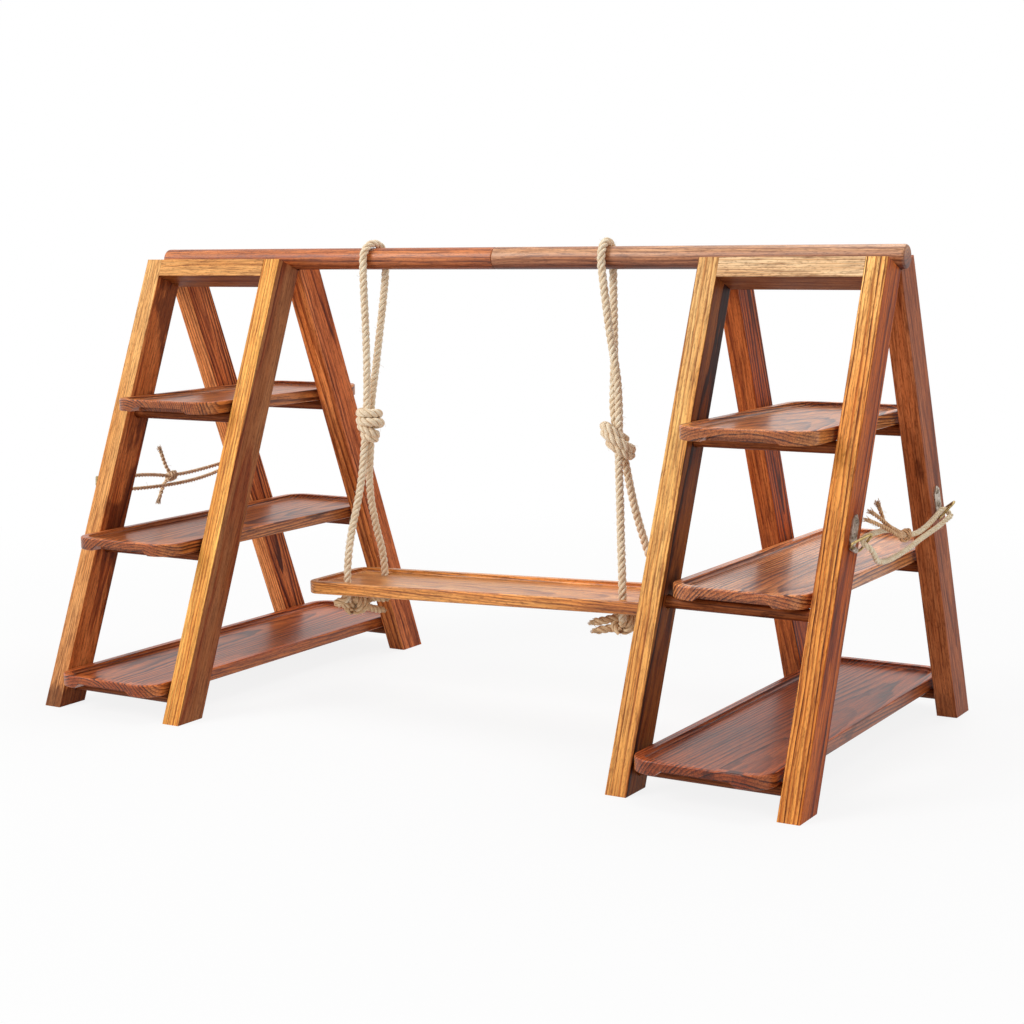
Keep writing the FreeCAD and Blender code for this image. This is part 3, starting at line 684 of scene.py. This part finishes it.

# %% [markdown]
# Under the swing tray the two ends of each rope are tied together, and the cut ends stick out and
# fray. Their finish is darker and browner than the rope above: painted shade under the tray. A plain
# lump would hide how the rope is tied, so every run that shows has a route: on the left the ends lie
# along the tray, on the right they point to the middle. Stray hairs are grown last, on the finished
# rope and knots.

# %% Ties under the swing tray
SHADED_ROPE = {**ROPE, "Material": jute_shaded}
FRAY = {"Fibres": 90, "Root": 0.0021, "Spread": 0.0013, "Thickness": 0.00028, "Step": 0.001}
HAIRS = {"Density": 9000.0, "Hair length": 0.0042, "Thickness": 0.00009}
ROPE_TIP = (-5.0, 0.0, 1.5, 3.0)
tie_routes = {
    "left": [
        [(-141, -30, 99), (-141.5, -31, 90), (-149, -36, 88), (-153, -29, 85), (-149, -19, 83),
         (-146, -8, 82), (-145, 4, 82.5), (-144, 16, 85), (-142, 27, 90), (-141, 30, 99)],
        [(-146, -15, 89), (-142, -7, 82), (-140, 2, 77), (-139.5, 12, 74), (-139, 20, 72)],
        [(-150, -13, 80), (-145, -4, 87), (-141, 5, 86), (-138.5, 14, 84), (-137, 22, 82.5)],
    ],
    "right": [
        [(141, -30, 108), (141, -30, 99), (139, -27, 94), (135.5, -17, 92), (134.5, -5, 92),
         (136, 9, 93), (139, 22, 95.5), (141, 30, 100), (141, 30, 108)],
        [(140, -14, 98), (135, -20, 99), (129, -25, 97.5), (122, -28, 95.5), (115, -30, 94)],
        [(138, -12, 88), (133, -19, 88.5), (128, -24, 89), (122, -27, 88), (117, -29, 87)],
    ],
}
tie_turns = {
    "left": ((-146, -9, 83), [(-6, 2, 7.2, 0), (0.5, -2, 8, 0), (6.5, 2.5, 7, 0)]),
    "right": ((136.5, -18, 94), [(-5.5, 2.5, 7, 0), (0.5, -2.5, 7.8, 0), (6.5, 1.5, 6.8, 0)]),
}


def beyond_tip(route, steps):
    """Short route in line with the end of another one: steps are millimetres past its tip."""
    tip = Vector(route[-1])
    onward = (tip - Vector(route[-2])).normalized()
    return [tuple(tip + onward * step) for step in steps]


def joined(name, pieces):
    """One piece out of several."""
    with bpy.context.temp_override(
            active_object=pieces[0], selected_editable_objects=pieces, selected_objects=pieces):
        bpy.ops.object.join()
    pieces[0].name = name
    return pieces[0]


def with_hairs(name, pieces, seed, material):
    """Stray hairs on finished pieces."""
    meshes = [run_tree(piece, hair_tree, {**HAIRS, "Seed": seed + index, "Material": material}, name)
              for index, piece in enumerate(pieces)]
    made = [new_piece(name + str(index), mesh) for index, mesh in enumerate(meshes)]
    return joined(name, made)


for side in ("left", "right"):
    centre, turns = tie_turns[side]
    routes = tie_routes[side] + [wound_route(centre, LENGTHWISE, UPWARDS, turns, start=0.5)]
    for index, route in enumerate(routes):
        knots[side].append(along_route(f"under_tie_{side}_{index}", route, rope_tree, SHADED_ROPE)[0])
    for route in tie_routes[side][1:]:
        fray = {**FRAY, "Material": jute_shaded}
        knots[side].append(along_route("cut_end", beyond_tip(route, ROPE_TIP), fray_tree, fray)[0])
    knot = joined("rope_knots_" + side, knots[side])
    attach(knot, "swing")
    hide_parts("rope_" + side + "_knots")
    hairs = with_hairs("rope_hairs_" + side, [ropes[side][0], knot], 3, jute_rope)
    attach(hairs, "swing")
    piece, points, length = ropes[side]
    print(knot.name, len(knot.data.polygons), "faces,", hairs.name, len(hairs.data.polygons), "faces")

# %% [markdown]
# On the outer side of each stand a piece of twine runs round the two rings and is knotted in the
# middle, so that the ladders can't slip apart. On one ladder alone it would be torn off the other
# when the stand folds, so it is attached to neither ladder. The right twine is paler and looser than
# the left one, and its knot and tails get a browner finish, which is painted shade.

# %% Sizes of the tie cords
STAND_PLACE = 287.5
TWINE = {"Strands": 2, "Rope radius": 0.002, "Strand radius": 0.00112, "Lay length": 0.0085,
         "Step": 0.0006, "Sides": 7, "Material": jute_twine}
TWINE_FRAY = {**FRAY, "Fibres": 46, "Root": 0.0011, "Spread": 0.0015, "Thickness": 0.00022}
TWINE_TIP = (-5.0, -1.0, 2.0, 4.5)
TWINE_TURNS = [(-3.4, 1.2, 2.9, 0.0), (0.0, -1.6, 3.8, 0.0), (3.4, 1.4, 2.9, 0.0)]
TWINE_KNOT_AXIS = (0.0, 1.0, 0.25)
twine_tails = {
    "left": [
        [(86, 2, 187), (88, -2, 194), (88.5, -6, 203), (88, -10, 212)],
        [(86, 2, 187), (89.5, -3, 182), (91, -7, 174), (91, -11, 166)],
    ],
    "right": [
        [(86, -2, 182), (89, -30, 190), (89, -57, 198.5), (89, -62, 206), (89, -69, 214)],
        [(86, -2, 182), (92, -30, 187), (92, -48, 194), (90.5, -66, 203), (89, -82, 210.5)],
        [(86, -2, 182), (94, -34, 185), (94, -60, 195), (92, -80, 202), (90.5, -94, 206.5)],
    ],
}
twine_knots = {"left": (86, 2, 186.5), "right": (86, -2, 182)}
twine_kinds = {
    "left": (TWINE, TWINE),
    # On the right, the knot and tails take the browner twine finish, which is painted shade.
    "right": ({**TWINE, "Rope radius": 0.0023, "Strand radius": 0.0013, "Material": jute_pale},
              {**TWINE, "Rope radius": 0.0017, "Strand radius": 0.00096, "Material": jute_twine_shaded}),
}
print("tails:", {side: len(tails) for side, tails in twine_tails.items()})


# %% Tie cords
def outer_side(side, route):
    """Route of a stand's outer side, from its own millimetres to the whole model's."""
    sign = -1.0 if side == "left" else 1.0
    return [(sign * (STAND_PLACE + x), y, z) for x, y, z in route]


def on_both_ladders(piece):
    """Twine whose place is baked into its mesh; it is attached to neither ladder."""
    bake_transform(piece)


for side, route in (("left", twine_left_route), ("right", twine_right_route)):
    run_kind, tail_kind = twine_kinds[side]
    cord, points = along_route("tie_twine_" + side, outer_side(side, route), rope_tree, run_kind)
    fray = {**TWINE_FRAY, "Material": tail_kind["Material"]}
    ends = []
    for tail in twine_tails[side]:
        tail = outer_side(side, tail)
        ends.append(along_route("tail", tail, rope_tree, tail_kind)[0])
        ends.append(along_route("tail_end", beyond_tip(tail, TWINE_TIP), fray_tree, fray)[0])
    centre = outer_side(side, [twine_knots[side]])[0]
    turns = wound_route(centre, TWINE_KNOT_AXIS, UPWARDS, TWINE_TURNS)
    ends.append(along_route("twine_turns", turns, rope_tree, tail_kind)[0])
    knot = joined("tie_twine_knot_" + side, ends)
    hairs = with_hairs("tie_twine_hairs_" + side, [cord, knot], 9, run_kind["Material"])
    for piece in (cord, knot, hairs):
        on_both_ladders(piece)
    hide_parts(side + "_tie_cord")
    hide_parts(side + "_tie_knot")
    length = line_length(points)
    print(cord.name, "length", round(length, 3), "m")

# %% [markdown]
# The wood is softwood that was scorched with a flame, brushed and oiled: golden where the saw cut
# across the rings, reddish and darker where it ran along them, and on the broad faces part of that
# difference is painted light and shade. Photographs of boards could be laid on the faces, but they
# would not meet at the edges. A pattern through the whole solid does: rings round a heart line that
# lies beside the piece, as in the tree. All its sizes are in millimetres, and each noise adds its own
# step to the seed of the piece, so that no two of them run together.

# %% Growth rings
RING_SWAY = (45, 45, 190)
RING_WAVE = (8, 8, 60)
RING_BREAKS = (4, 4, 60)
RING_BAND = [(0.0, 0.0), (0.34, 0.06), (0.62, 0.45), (0.82, 1.0), (0.93, 0.85), (1.0, 0.0)]
SPACING_PACE = 0.6
LEAST_DEPTH = 0.35


def grain_noise(tree, vector, sizes, seed, detail):
    """Noise that is stretched to the given sizes."""
    return noise(tree, vector_node(tree, "DIVIDE", vector, sizes), seed, detail)


def growth_rings(tree, place, seed, look):
    """Number of rings from the heart line, with some sway."""
    spot = make_node(tree, "ShaderNodeSeparateXYZ", {0: place}).outputs
    lean = times(tree, spot["Z"], look["tilt"])
    across = plus(tree, math_node(tree, "SUBTRACT", spot["X"], look["heart"][0]), lean)
    beside = math_node(tree, "SUBTRACT", spot["Y"], look["heart"][1])
    flat = make_node(tree, "ShaderNodeCombineXYZ", {"X": across, "Y": beside})
    rings = math_node(tree, "DIVIDE", vector_node(tree, "LENGTH", flat.outputs[0]), look["ring"])
    sway = grain_noise(tree, place, RING_SWAY, seed, 2.0)
    wave = grain_noise(tree, place, RING_WAVE, seed + 1.7, 3.0)
    rings = plus(tree, rings, times(tree, sway, look["sway"]))
    rings = plus(tree, rings, times(tree, wave, look["wave"]))
    count = make_node(tree, "ShaderNodeCombineXYZ", {"X": times(tree, rings, SPACING_PACE)})
    return plus(tree, rings, noise(tree, count.outputs[0], seed + 2.9, 1.0))


def late_wood(tree, place, broad, seed, look):
    """Dark late wood: each ring has a depth of its own, and it breaks off along the grain."""
    rings = growth_rings(tree, place, seed, look)
    band = colour_ramp(tree, math_node(tree, "FRACT", rings), RING_BAND)
    number = math_node(tree, "FLOOR", rings)
    own = make_node(tree, "ShaderNodeTexWhiteNoise", {"W": number}, noise_dimensions="1D")
    depth = times(tree, plus(tree, own.outputs["Value"], LEAST_DEPTH), look["contrast"])
    breaks = grain_noise(tree, place, RING_BREAKS, seed + 6.4, 2.0)
    depth = times(tree, depth, colour_ramp(tree, breaks, [(0.32, 0.35), (0.58, 1.0)]))
    depth = times(tree, depth, colour_ramp(tree, broad, [(0.0, look["edge_rings"]), (1.0, 1.0)]))
    return times(tree, band, depth)


print("growth rings ready")

# %% [markdown]
# Fire and light work on whole faces and ends. Three more helpers find the faces that look one way,
# shade a piece along a direction, and place the scorched patches.

# %% Faces, shades and scorched patches
LENGTH_SPAN = 430
BURN_SIZES = (20, 20, 75)
BURN_EDGE = 0.07
FOOT_BURN = 0.22


def faces_towards(tree, coords, direction, slopes):
    """One on faces that look along a direction or against it, zero on the others."""
    slope = vector_node(tree, "DOT_PRODUCT", coords["Normal"], direction)
    return colour_ramp(tree, math_node(tree, "ABSOLUTE", slope), list(zip(slopes, (0.0, 1.0))))


def shades_along(tree, distance, span, stops):
    """Shades at distances from the middle of a span."""
    share = plus(tree, times(tree, distance, 1 / span), 0.5)
    return colour_ramp(tree, share, [(place / span + 0.5, shade) for place, shade in stops])


def scorched(tree, place, height, seed, look):
    """One where a flame has burnt the wood, more so at the foot or towards one side."""
    burn = grain_noise(tree, place, BURN_SIZES, seed + 8.2, 4.0)
    if look["foot"]:
        ground = -LENGTH_SPAN / 2
        foot = [(ground, FOOT_BURN), (ground + look["foot"], 0.0)]
        burn = plus(tree, burn, shades_along(tree, height, LENGTH_SPAN, foot))
    if look["burn_towards"]:
        burn = plus(tree, burn, vector_node(tree, "DOT_PRODUCT", place, (*look["burn_towards"], 0.0)))
    return colour_ramp(tree, burn, [(look["burn"], 0.0), (look["burn"] + BURN_EDGE, 1.0)])


print("wood helpers ready")

# %% [markdown]
# One function makes the finish of any wooden piece. It turns the pattern into the piece's own
# directions and takes a look: pale, middle and dark are the colours from early to late wood, gain
# brightens all three, tone is a shade in long streaks, flat a shade on the broad faces that is partly
# the wood's own colour and partly painted light and shade for how those faces turn to the lamps, grade
# a shade along the narrow faces, and rise, across the thickness, is painted light: a painted highlight
# towards the top and, on the pole, painted shade below. The rest are sizes and strengths.

# %% Wood finish
PAINTED_LIGHT_SPAN = 24
FIBRE_SIZES = (1.1, 1.1, 24)
PORE_SIZES = (0.9, 0.9, 4)
TONE_SIZES = (11, 11, 150)
FIBRE_SHADES = [(0.37, (0.5, 0.4, 0.34)), (0.48, (0.92, 0.9, 0.88)), (0.58, (1.18, 1.16, 1.12))]
PORE_SHADES = [(0.36, (0.5, 0.4, 0.34)), (0.46, 1.0), (0.6, (1.1, 1.1, 1.08))]
PORE_SHARE = 0.7
BROAD_SLOPES = (0.45, 0.85)
END_SLOPES = (0.6, 0.95)
END_GRAIN = (0.66, 0.5, 0.42)
BURNT = (0.3, 0.22, 0.2)
BURNT_SHARE = 0.85
ROUGH_SWING = 0.16
COAT_ROUGHNESS = 0.24


def own_place(tree, coords, piece, along, outward):
    """Millimetres from the middle of a piece: outward, aside and along the grain."""
    low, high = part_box(piece)
    turn = Matrix((outward, along.cross(outward), along)).transposed().to_euler()
    values = {"Vector": coords["Object"], "Location": (Vector(low) + Vector(high)) / 2,
              "Rotation": turn, "Scale": (MM, MM, MM)}
    return make_node(tree, "ShaderNodeMapping", values, vector_type="TEXTURE").outputs[0]


def wood(piece, grain, radial, seed, look):
    """Scorched and oiled softwood for one piece: grain and radial are its directions in the model."""
    material, tree, shader = new_material("wood_" + piece)
    coords = make_node(tree, "ShaderNodeTexCoord").outputs
    along = Vector(grain).normalized()
    outward = (Vector(radial) - along * Vector(radial).dot(along)).normalized()
    place = own_place(tree, coords, piece, along, outward)
    spot = make_node(tree, "ShaderNodeSeparateXYZ", {0: place}).outputs
    broad = faces_towards(tree, coords, outward, BROAD_SLOPES)
    ends = faces_towards(tree, coords, along, END_SLOPES)
    late = late_wood(tree, place, broad, seed, look)
    fibre = grain_noise(tree, place, FIBRE_SIZES, seed + 3.1, 3.0)
    pores = grain_noise(tree, place, PORE_SIZES, seed + 4.3, 2.0)
    tone = grain_noise(tree, place, TONE_SIZES, seed + 5.9, 3.0)
    pale, middle, dark = (
        tuple(min(1.0, part * gain) for part, gain in zip(look[shade], look["gain"]))
        for shade in ("pale", "middle", "dark"))
    colour = colour_ramp(tree, late, [(0.0, pale), (0.45, middle), (1.0, dark)])
    colour = shaded(tree, colour, 1.0, colour_ramp(tree, tone, [(0.34, 1.0), (0.66, look["tone"])]))
    colour = shaded(tree, colour, look["fibre"], colour_ramp(tree, fibre, FIBRE_SHADES))
    colour = shaded(tree, colour, PORE_SHARE * look["fibre"], colour_ramp(tree, pores, PORE_SHADES))
    if look["grade"]:
        narrow = math_node(tree, "SUBTRACT", 1.0, broad)
        colour = shaded(tree, colour, narrow, shades_along(tree, spot["Z"], LENGTH_SPAN, look["grade"]))
    # Shade on the broad faces: partly the wood's own colour, partly painted light and shade.
    colour = shaded(tree, colour, broad, look["flat"])
    colour = shaded(tree, colour, ends, END_GRAIN)
    # Painted light across the thickness: a painted highlight towards the top, and painted shade below.
    if look["painted_light_by_height"]:
        colour = shaded(tree, colour, 1.0, shades_along(tree, spot["X"], PAINTED_LIGHT_SPAN, look["painted_light_by_height"]))
    burnt = scorched(tree, place, spot["Z"], seed, look)
    colour = shaded(tree, colour, times(tree, burnt, BURNT_SHARE), BURNT)
    rough = plus(tree, times(tree, plus(tree, fibre, pores), ROUGH_SWING), look["rough"])
    fill(tree, shader, {"Base Color": colour, "Roughness": rough, "Specular IOR Level": look["shine"],
                        "Coat Weight": look["coat"], "Coat Roughness": COAT_ROUGHNESS})
    relief = plus(tree, times(tree, late, 0.5), times(tree, fibre, 0.6))
    add_bump(tree, shader, relief, strength=0.25, depth=0.0005)
    for slot in nodes[piece].material_slots:
        slot.material = material


print("wood finish ready")

# %% [markdown]
# The legs were sawn so that the rings lie across their narrow faces: the fronts show straight fine
# lines, and the broad sides show reddish flames. One wood for all would look like moulded plastic,
# so each leg gets its own ring width and heart line.

# %% Legs
LEAN = math.radians(22.0)
UP_FRONT = (0.0, math.sin(LEAN), math.cos(LEAN))
UP_BACK = (0.0, -math.sin(LEAN), math.cos(LEAN))
SIDEWAYS = (1.0, 0.0, 0.0)
LEG = dict(
    pale=(0.9, 0.46, 0.13), middle=(0.56, 0.21, 0.05), dark=(0.12, 0.03, 0.009), gain=(1.0, 1.0, 1.0),
    tone=(0.78, 0.6, 0.46), grade=None, painted_light_by_height=None, heart=(42, 4), tilt=0.01, sway=1.6, wave=0.7,
    edge_rings=1.0, fibre=0.9, burn=0.62, burn_towards=None, foot=0.0, rough=0.32, shine=0.12, coat=0.0)
# The back legs are redder and darker than the front ones: partly their own wood, partly painted shade.
BACK_LEG_TONE_AND_SHADE = dict(pale=(0.72, 0.26, 0.066), middle=(0.43, 0.13, 0.034), tilt=0.025)
# Each leg's flat shades its broad faces: partly its wood, partly painted light and shade.
leg_looks = {
    "left_front_leg_left": dict(
        ring=1.9, contrast=0.6, flat=(0.9, 0.6, 0.58), gain=(0.99, 1.05, 1.22),
        burn=0.55, burn_towards=(0.006, 0.007), foot=40.0,
        grade=[(-200, (0.8, 0.74, 0.9)), (-60, (0.98, 0.96, 1.05)), (60, 1.0), (200, (1.12, 1.35, 1.7))]),
    "left_front_leg_right": dict(
        ring=3.0, contrast=0.65, heart=(-36, 6), flat=(0.4, 0.29, 0.46), gain=(1.3, 1.22, 1.08),
        burn=0.66, fibre=0.75),
    "left_back_leg_left": dict(
        BACK_LEG_TONE_AND_SHADE, ring=2.6, contrast=1.6, heart=(20, -5), flat=(0.95, 0.8, 0.8),
        gain=(1.3, 1.5, 2.0), edge_rings=0.5),
    "left_back_leg_right": dict(
        BACK_LEG_TONE_AND_SHADE, ring=4.5, contrast=0.9, heart=(22, 6), flat=(0.88, 0.74, 0.8),
        gain=(1.2, 1.25, 1.6), tilt=0.03),
    "right_front_leg_left": dict(
        ring=2.8, contrast=1.5, heart=(-40, 8), flat=(0.34, 0.2, 0.15), gain=(1.1, 1.32, 1.62),
        burn=0.6, edge_rings=0.4,
        grade=[(-200, (0.84, 0.66, 0.5)), (-80, (0.98, 0.9, 0.8)), (60, (1.04, 1.04, 1.0)),
               (200, (0.92, 0.94, 1.1))]),
    "right_front_leg_right": dict(
        ring=3.6, contrast=1.1, heart=(38, -6), flat=(0.69, 0.41, 0.27), gain=(0.97, 0.8, 0.62),
        burn=0.68, grade=[(-200, 1.0), (0, 1.0), (90, (1.2, 1.3, 1.5)), (200, (1.45, 2.2, 3.6))]),
    "right_back_leg_left": dict(
        BACK_LEG_TONE_AND_SHADE, ring=4.0, contrast=2.0, heart=(13, 2), flat=(1.25, 1.08, 0.95),
        gain=(0.82, 0.68, 0.73), tilt=0.05, edge_rings=0.25),
    "right_back_leg_right": dict(
        BACK_LEG_TONE_AND_SHADE, ring=2.0, contrast=0.6, heart=(34, 3), flat=(0.82, 0.73, 0.77),
        gain=(0.78, 0.78, 1.2), edge_rings=0.5),
}
for index, (piece, own) in enumerate(leg_looks.items()):
    upwards = UP_FRONT if "front" in piece else UP_BACK
    wood(piece, upwards, SIDEWAYS, seed=3.0 + 7.3 * index, look={**LEG, **own})
print(len(leg_looks), "legs")

# %% [markdown]
# Rails and rungs have their grain along their length. The rails show fine lines on the front and a
# flat reddish face below, darkened partly by painted shade, and the rungs are turned from straight
# stock. They could each have a look like the legs, but they differ so little that one look for each
# kind will do, with other seeds.

# %% Rails and rungs
RAIL = dict(
    LEG, pale=(0.82, 0.46, 0.17), middle=(0.62, 0.27, 0.075), flat=(0.4, 0.24, 0.18), ring=1.6,
    heart=(30, 6), contrast=0.6, tilt=0.004, burn=0.7)
RUNG = dict(
    LEG, pale=(0.34, 0.108, 0.032), middle=(0.22, 0.064, 0.02), flat=(0.78, 0.66, 0.62), ring=2.4,
    heart=(14, 5), contrast=0.7, burn=0.6)
rail_looks = {"right_front": dict(gain=(1.08, 1.4, 2.3))}
pieces = []
for side in ("left", "right"):
    for ladder, upwards in (("front", UP_FRONT), ("back", UP_BACK)):
        own = rail_looks.get(side + "_" + ladder, {})
        pieces.append((f"{side}_{ladder}_top_rail", upwards, {**RAIL, **own}))
        for shelf in ("low", "mid", "top"):
            pieces.append((f"{side}_{ladder}_rung_{shelf}", UPWARDS, RUNG))
for number, (piece, radial, look) in enumerate(pieces, start=1):
    wood(piece, SIDEWAYS, radial, seed=61.0 + 5.1 * number, look=look)
print(len(pieces), "rails and rungs")

# %% [markdown]
# The trays are flat-sawn boards: their tops show dark flames between fine lines, and their ends show
# the rings as arcs. The flames needn't be drawn: a heart line that tilts a little makes them, as in
# a real log. The swing tray is a lighter board with its grain along the pole.

# %% Trays
# The shade across the thickness lightens the top of each tray's rim: a painted highlight.
TRAY = dict(
    LEG, pale=(0.48, 0.18, 0.056), middle=(0.28, 0.092, 0.03), dark=(0.075, 0.02, 0.009),
    flat=(0.92, 0.8, 0.8), painted_light_by_height=[(2.4, 1.0), (4.6, (1.28, 1.2, 1.1))], sway=2.2, wave=0.8,
    contrast=1.5, burn=0.6, rough=0.22, shine=0.35, coat=0.12)
tray_looks = {
    "left_tray_low": dict(heart=(-60, -25), tilt=0.025, ring=2.6, gain=(1.3, 1.15, 1.0)),
    "left_tray_mid": dict(heart=(-60, 20), tilt=-0.03, ring=2.6, gain=(1.3, 1.35, 1.3)),
    "left_tray_top": dict(heart=(-30, -40), tilt=0.04, ring=2.2, gain=(1.3, 1.4, 1.35)),
    # The low right tray's lower gain is partly a darker board and partly painted shade from the trays
    # above.
    "right_tray_low": dict(heart=(-50, 30), tilt=0.03, ring=2.8, gain=(1.0, 0.8, 0.75)),
    "right_tray_mid": dict(
        heart=(-50, 25), tilt=-0.025, ring=2.6, gain=(1.75, 2.1, 2.5), flat=(1.15, 1.18, 1.24),
        coat=0.42),
    "right_tray_top": dict(
        heart=(-150, 5), tilt=0.05, ring=2.3, gain=(1.45, 1.7, 1.75), flat=(1.0, 0.93, 0.93),
        coat=0.32, sway=3.0),
}
SWING = dict(
    TRAY, pale=(0.7, 0.29, 0.075), middle=(0.48, 0.165, 0.038), flat=(0.78, 0.82, 1.02), ring=2.2,
    heart=(-60, 10), tilt=0.008, contrast=0.8, burn=0.66, coat=0.22, gain=(1.25, 1.42, 1.5),
    grade=[(60, 1.0), (115, (0.66, 0.55, 0.48)), (179, (0.52, 0.43, 0.4))])
for index, (piece, own) in enumerate(tray_looks.items()):
    wood(piece, LENGTHWISE, UPWARDS, seed=140.0 + 9.7 * index, look={**TRAY, **own})
wood("swing_tray", SIDEWAYS, UPWARDS, seed=210.0, look=SWING)
print(len(tray_looks) + 1, "trays")

# %% [markdown]
# The pole is redder and plainer, with long streaks. Its two halves meet on a stud, and each half has
# a wood of its own, so that the joint shows as a change of colour. Both halves are painted lighter on
# top, a painted highlight, and darker underneath, painted shade; the right half much more so.

# %% Pole
BAR = dict(
    LEG, pale=(0.48, 0.185, 0.068), middle=(0.32, 0.105, 0.036), dark=(0.12, 0.036, 0.016),
    flat=(0.92, 0.88, 0.86), ring=3.4, heart=(15, 6), tilt=0.004, contrast=0.7, burn=0.66,
    shine=0.4, coat=0.2)
bar_looks = {
    "bar_left": dict(
        gain=(1.2, 1.02, 0.82), painted_light_by_height=[(-8.0, (0.6, 0.5, 0.48)), (1.0, 1.0), (8.5, (1.15, 1.2, 1.25))]),
    "bar_right": dict(
        gain=(1.3, 1.5, 1.7),
        painted_light_by_height=[(-8.0, (0.3, 0.19, 0.24)), (-1.0, (0.82, 0.8, 0.88)), (8.5, (1.28, 1.8, 2.6))]),
}
for index, (piece, own) in enumerate(bar_looks.items()):
    wood(piece, SIDEWAYS, UPWARDS, seed=231.0 + 16.0 * index, look={**BAR, **own})
print(len(bar_looks), "pole halves")

# %% [markdown]
# The small metal parts are dull: browned strap plates, brass wire rings and steel screws. One even
# metal would look new, so noise on the colour and the roughness gives the rubbed and stained look of
# cheap plating.

# %% Metal finishes
SCRATCH_SIZES = (0.0004, 0.0004, 0.004)
WORN_SWING = 0.18


def metal(name, bright, stained, rough, grain):
    """Plated metal with stains and fine scratches."""
    material, tree, shader = new_material(name)
    spot = make_node(tree, "ShaderNodeTexCoord").outputs["Object"]
    stain = noise(tree, spot, seed=1.0, detail=4.0, scale=grain)
    scratch = grain_noise(tree, spot, SCRATCH_SIZES, seed=2.0, detail=3.0)
    worn = plus(tree, times(tree, plus(tree, stain, scratch), WORN_SWING), rough)
    colour = colour_ramp(tree, stain, [(0.36, stained), (0.62, bright)])
    fill(tree, shader, {"Base Color": colour, "Roughness": worn, "Metallic": 1.0})
    add_bump(tree, shader, scratch, strength=0.12, depth=0.0002)
    return material


finishes = {
    "ring_plate": metal("plate_bronze", (0.62, 0.54, 0.46), (0.26, 0.2, 0.15), 0.22, 420.0),
    "ring": metal("ring_brass", (0.62, 0.45, 0.2), (0.26, 0.18, 0.075), 0.2, 500.0),
    "screws": metal("screw_steel", (0.34, 0.28, 0.22), (0.14, 0.11, 0.085), 0.28, 600.0),
    "hinge_leaves": metal("hinge_steel", (0.56, 0.55, 0.53), (0.3, 0.29, 0.28), 0.3, 420.0),
}
finishes["hinge_pins"] = finishes["bar_stud"] = finishes["hinge_leaves"]
count = 0
for name, piece in nodes.items():
    for part, material in finishes.items():
        if name.endswith(part):
            for slot in piece.material_slots:
                slot.material = material
            count += 1
print(count, "metal nodes")
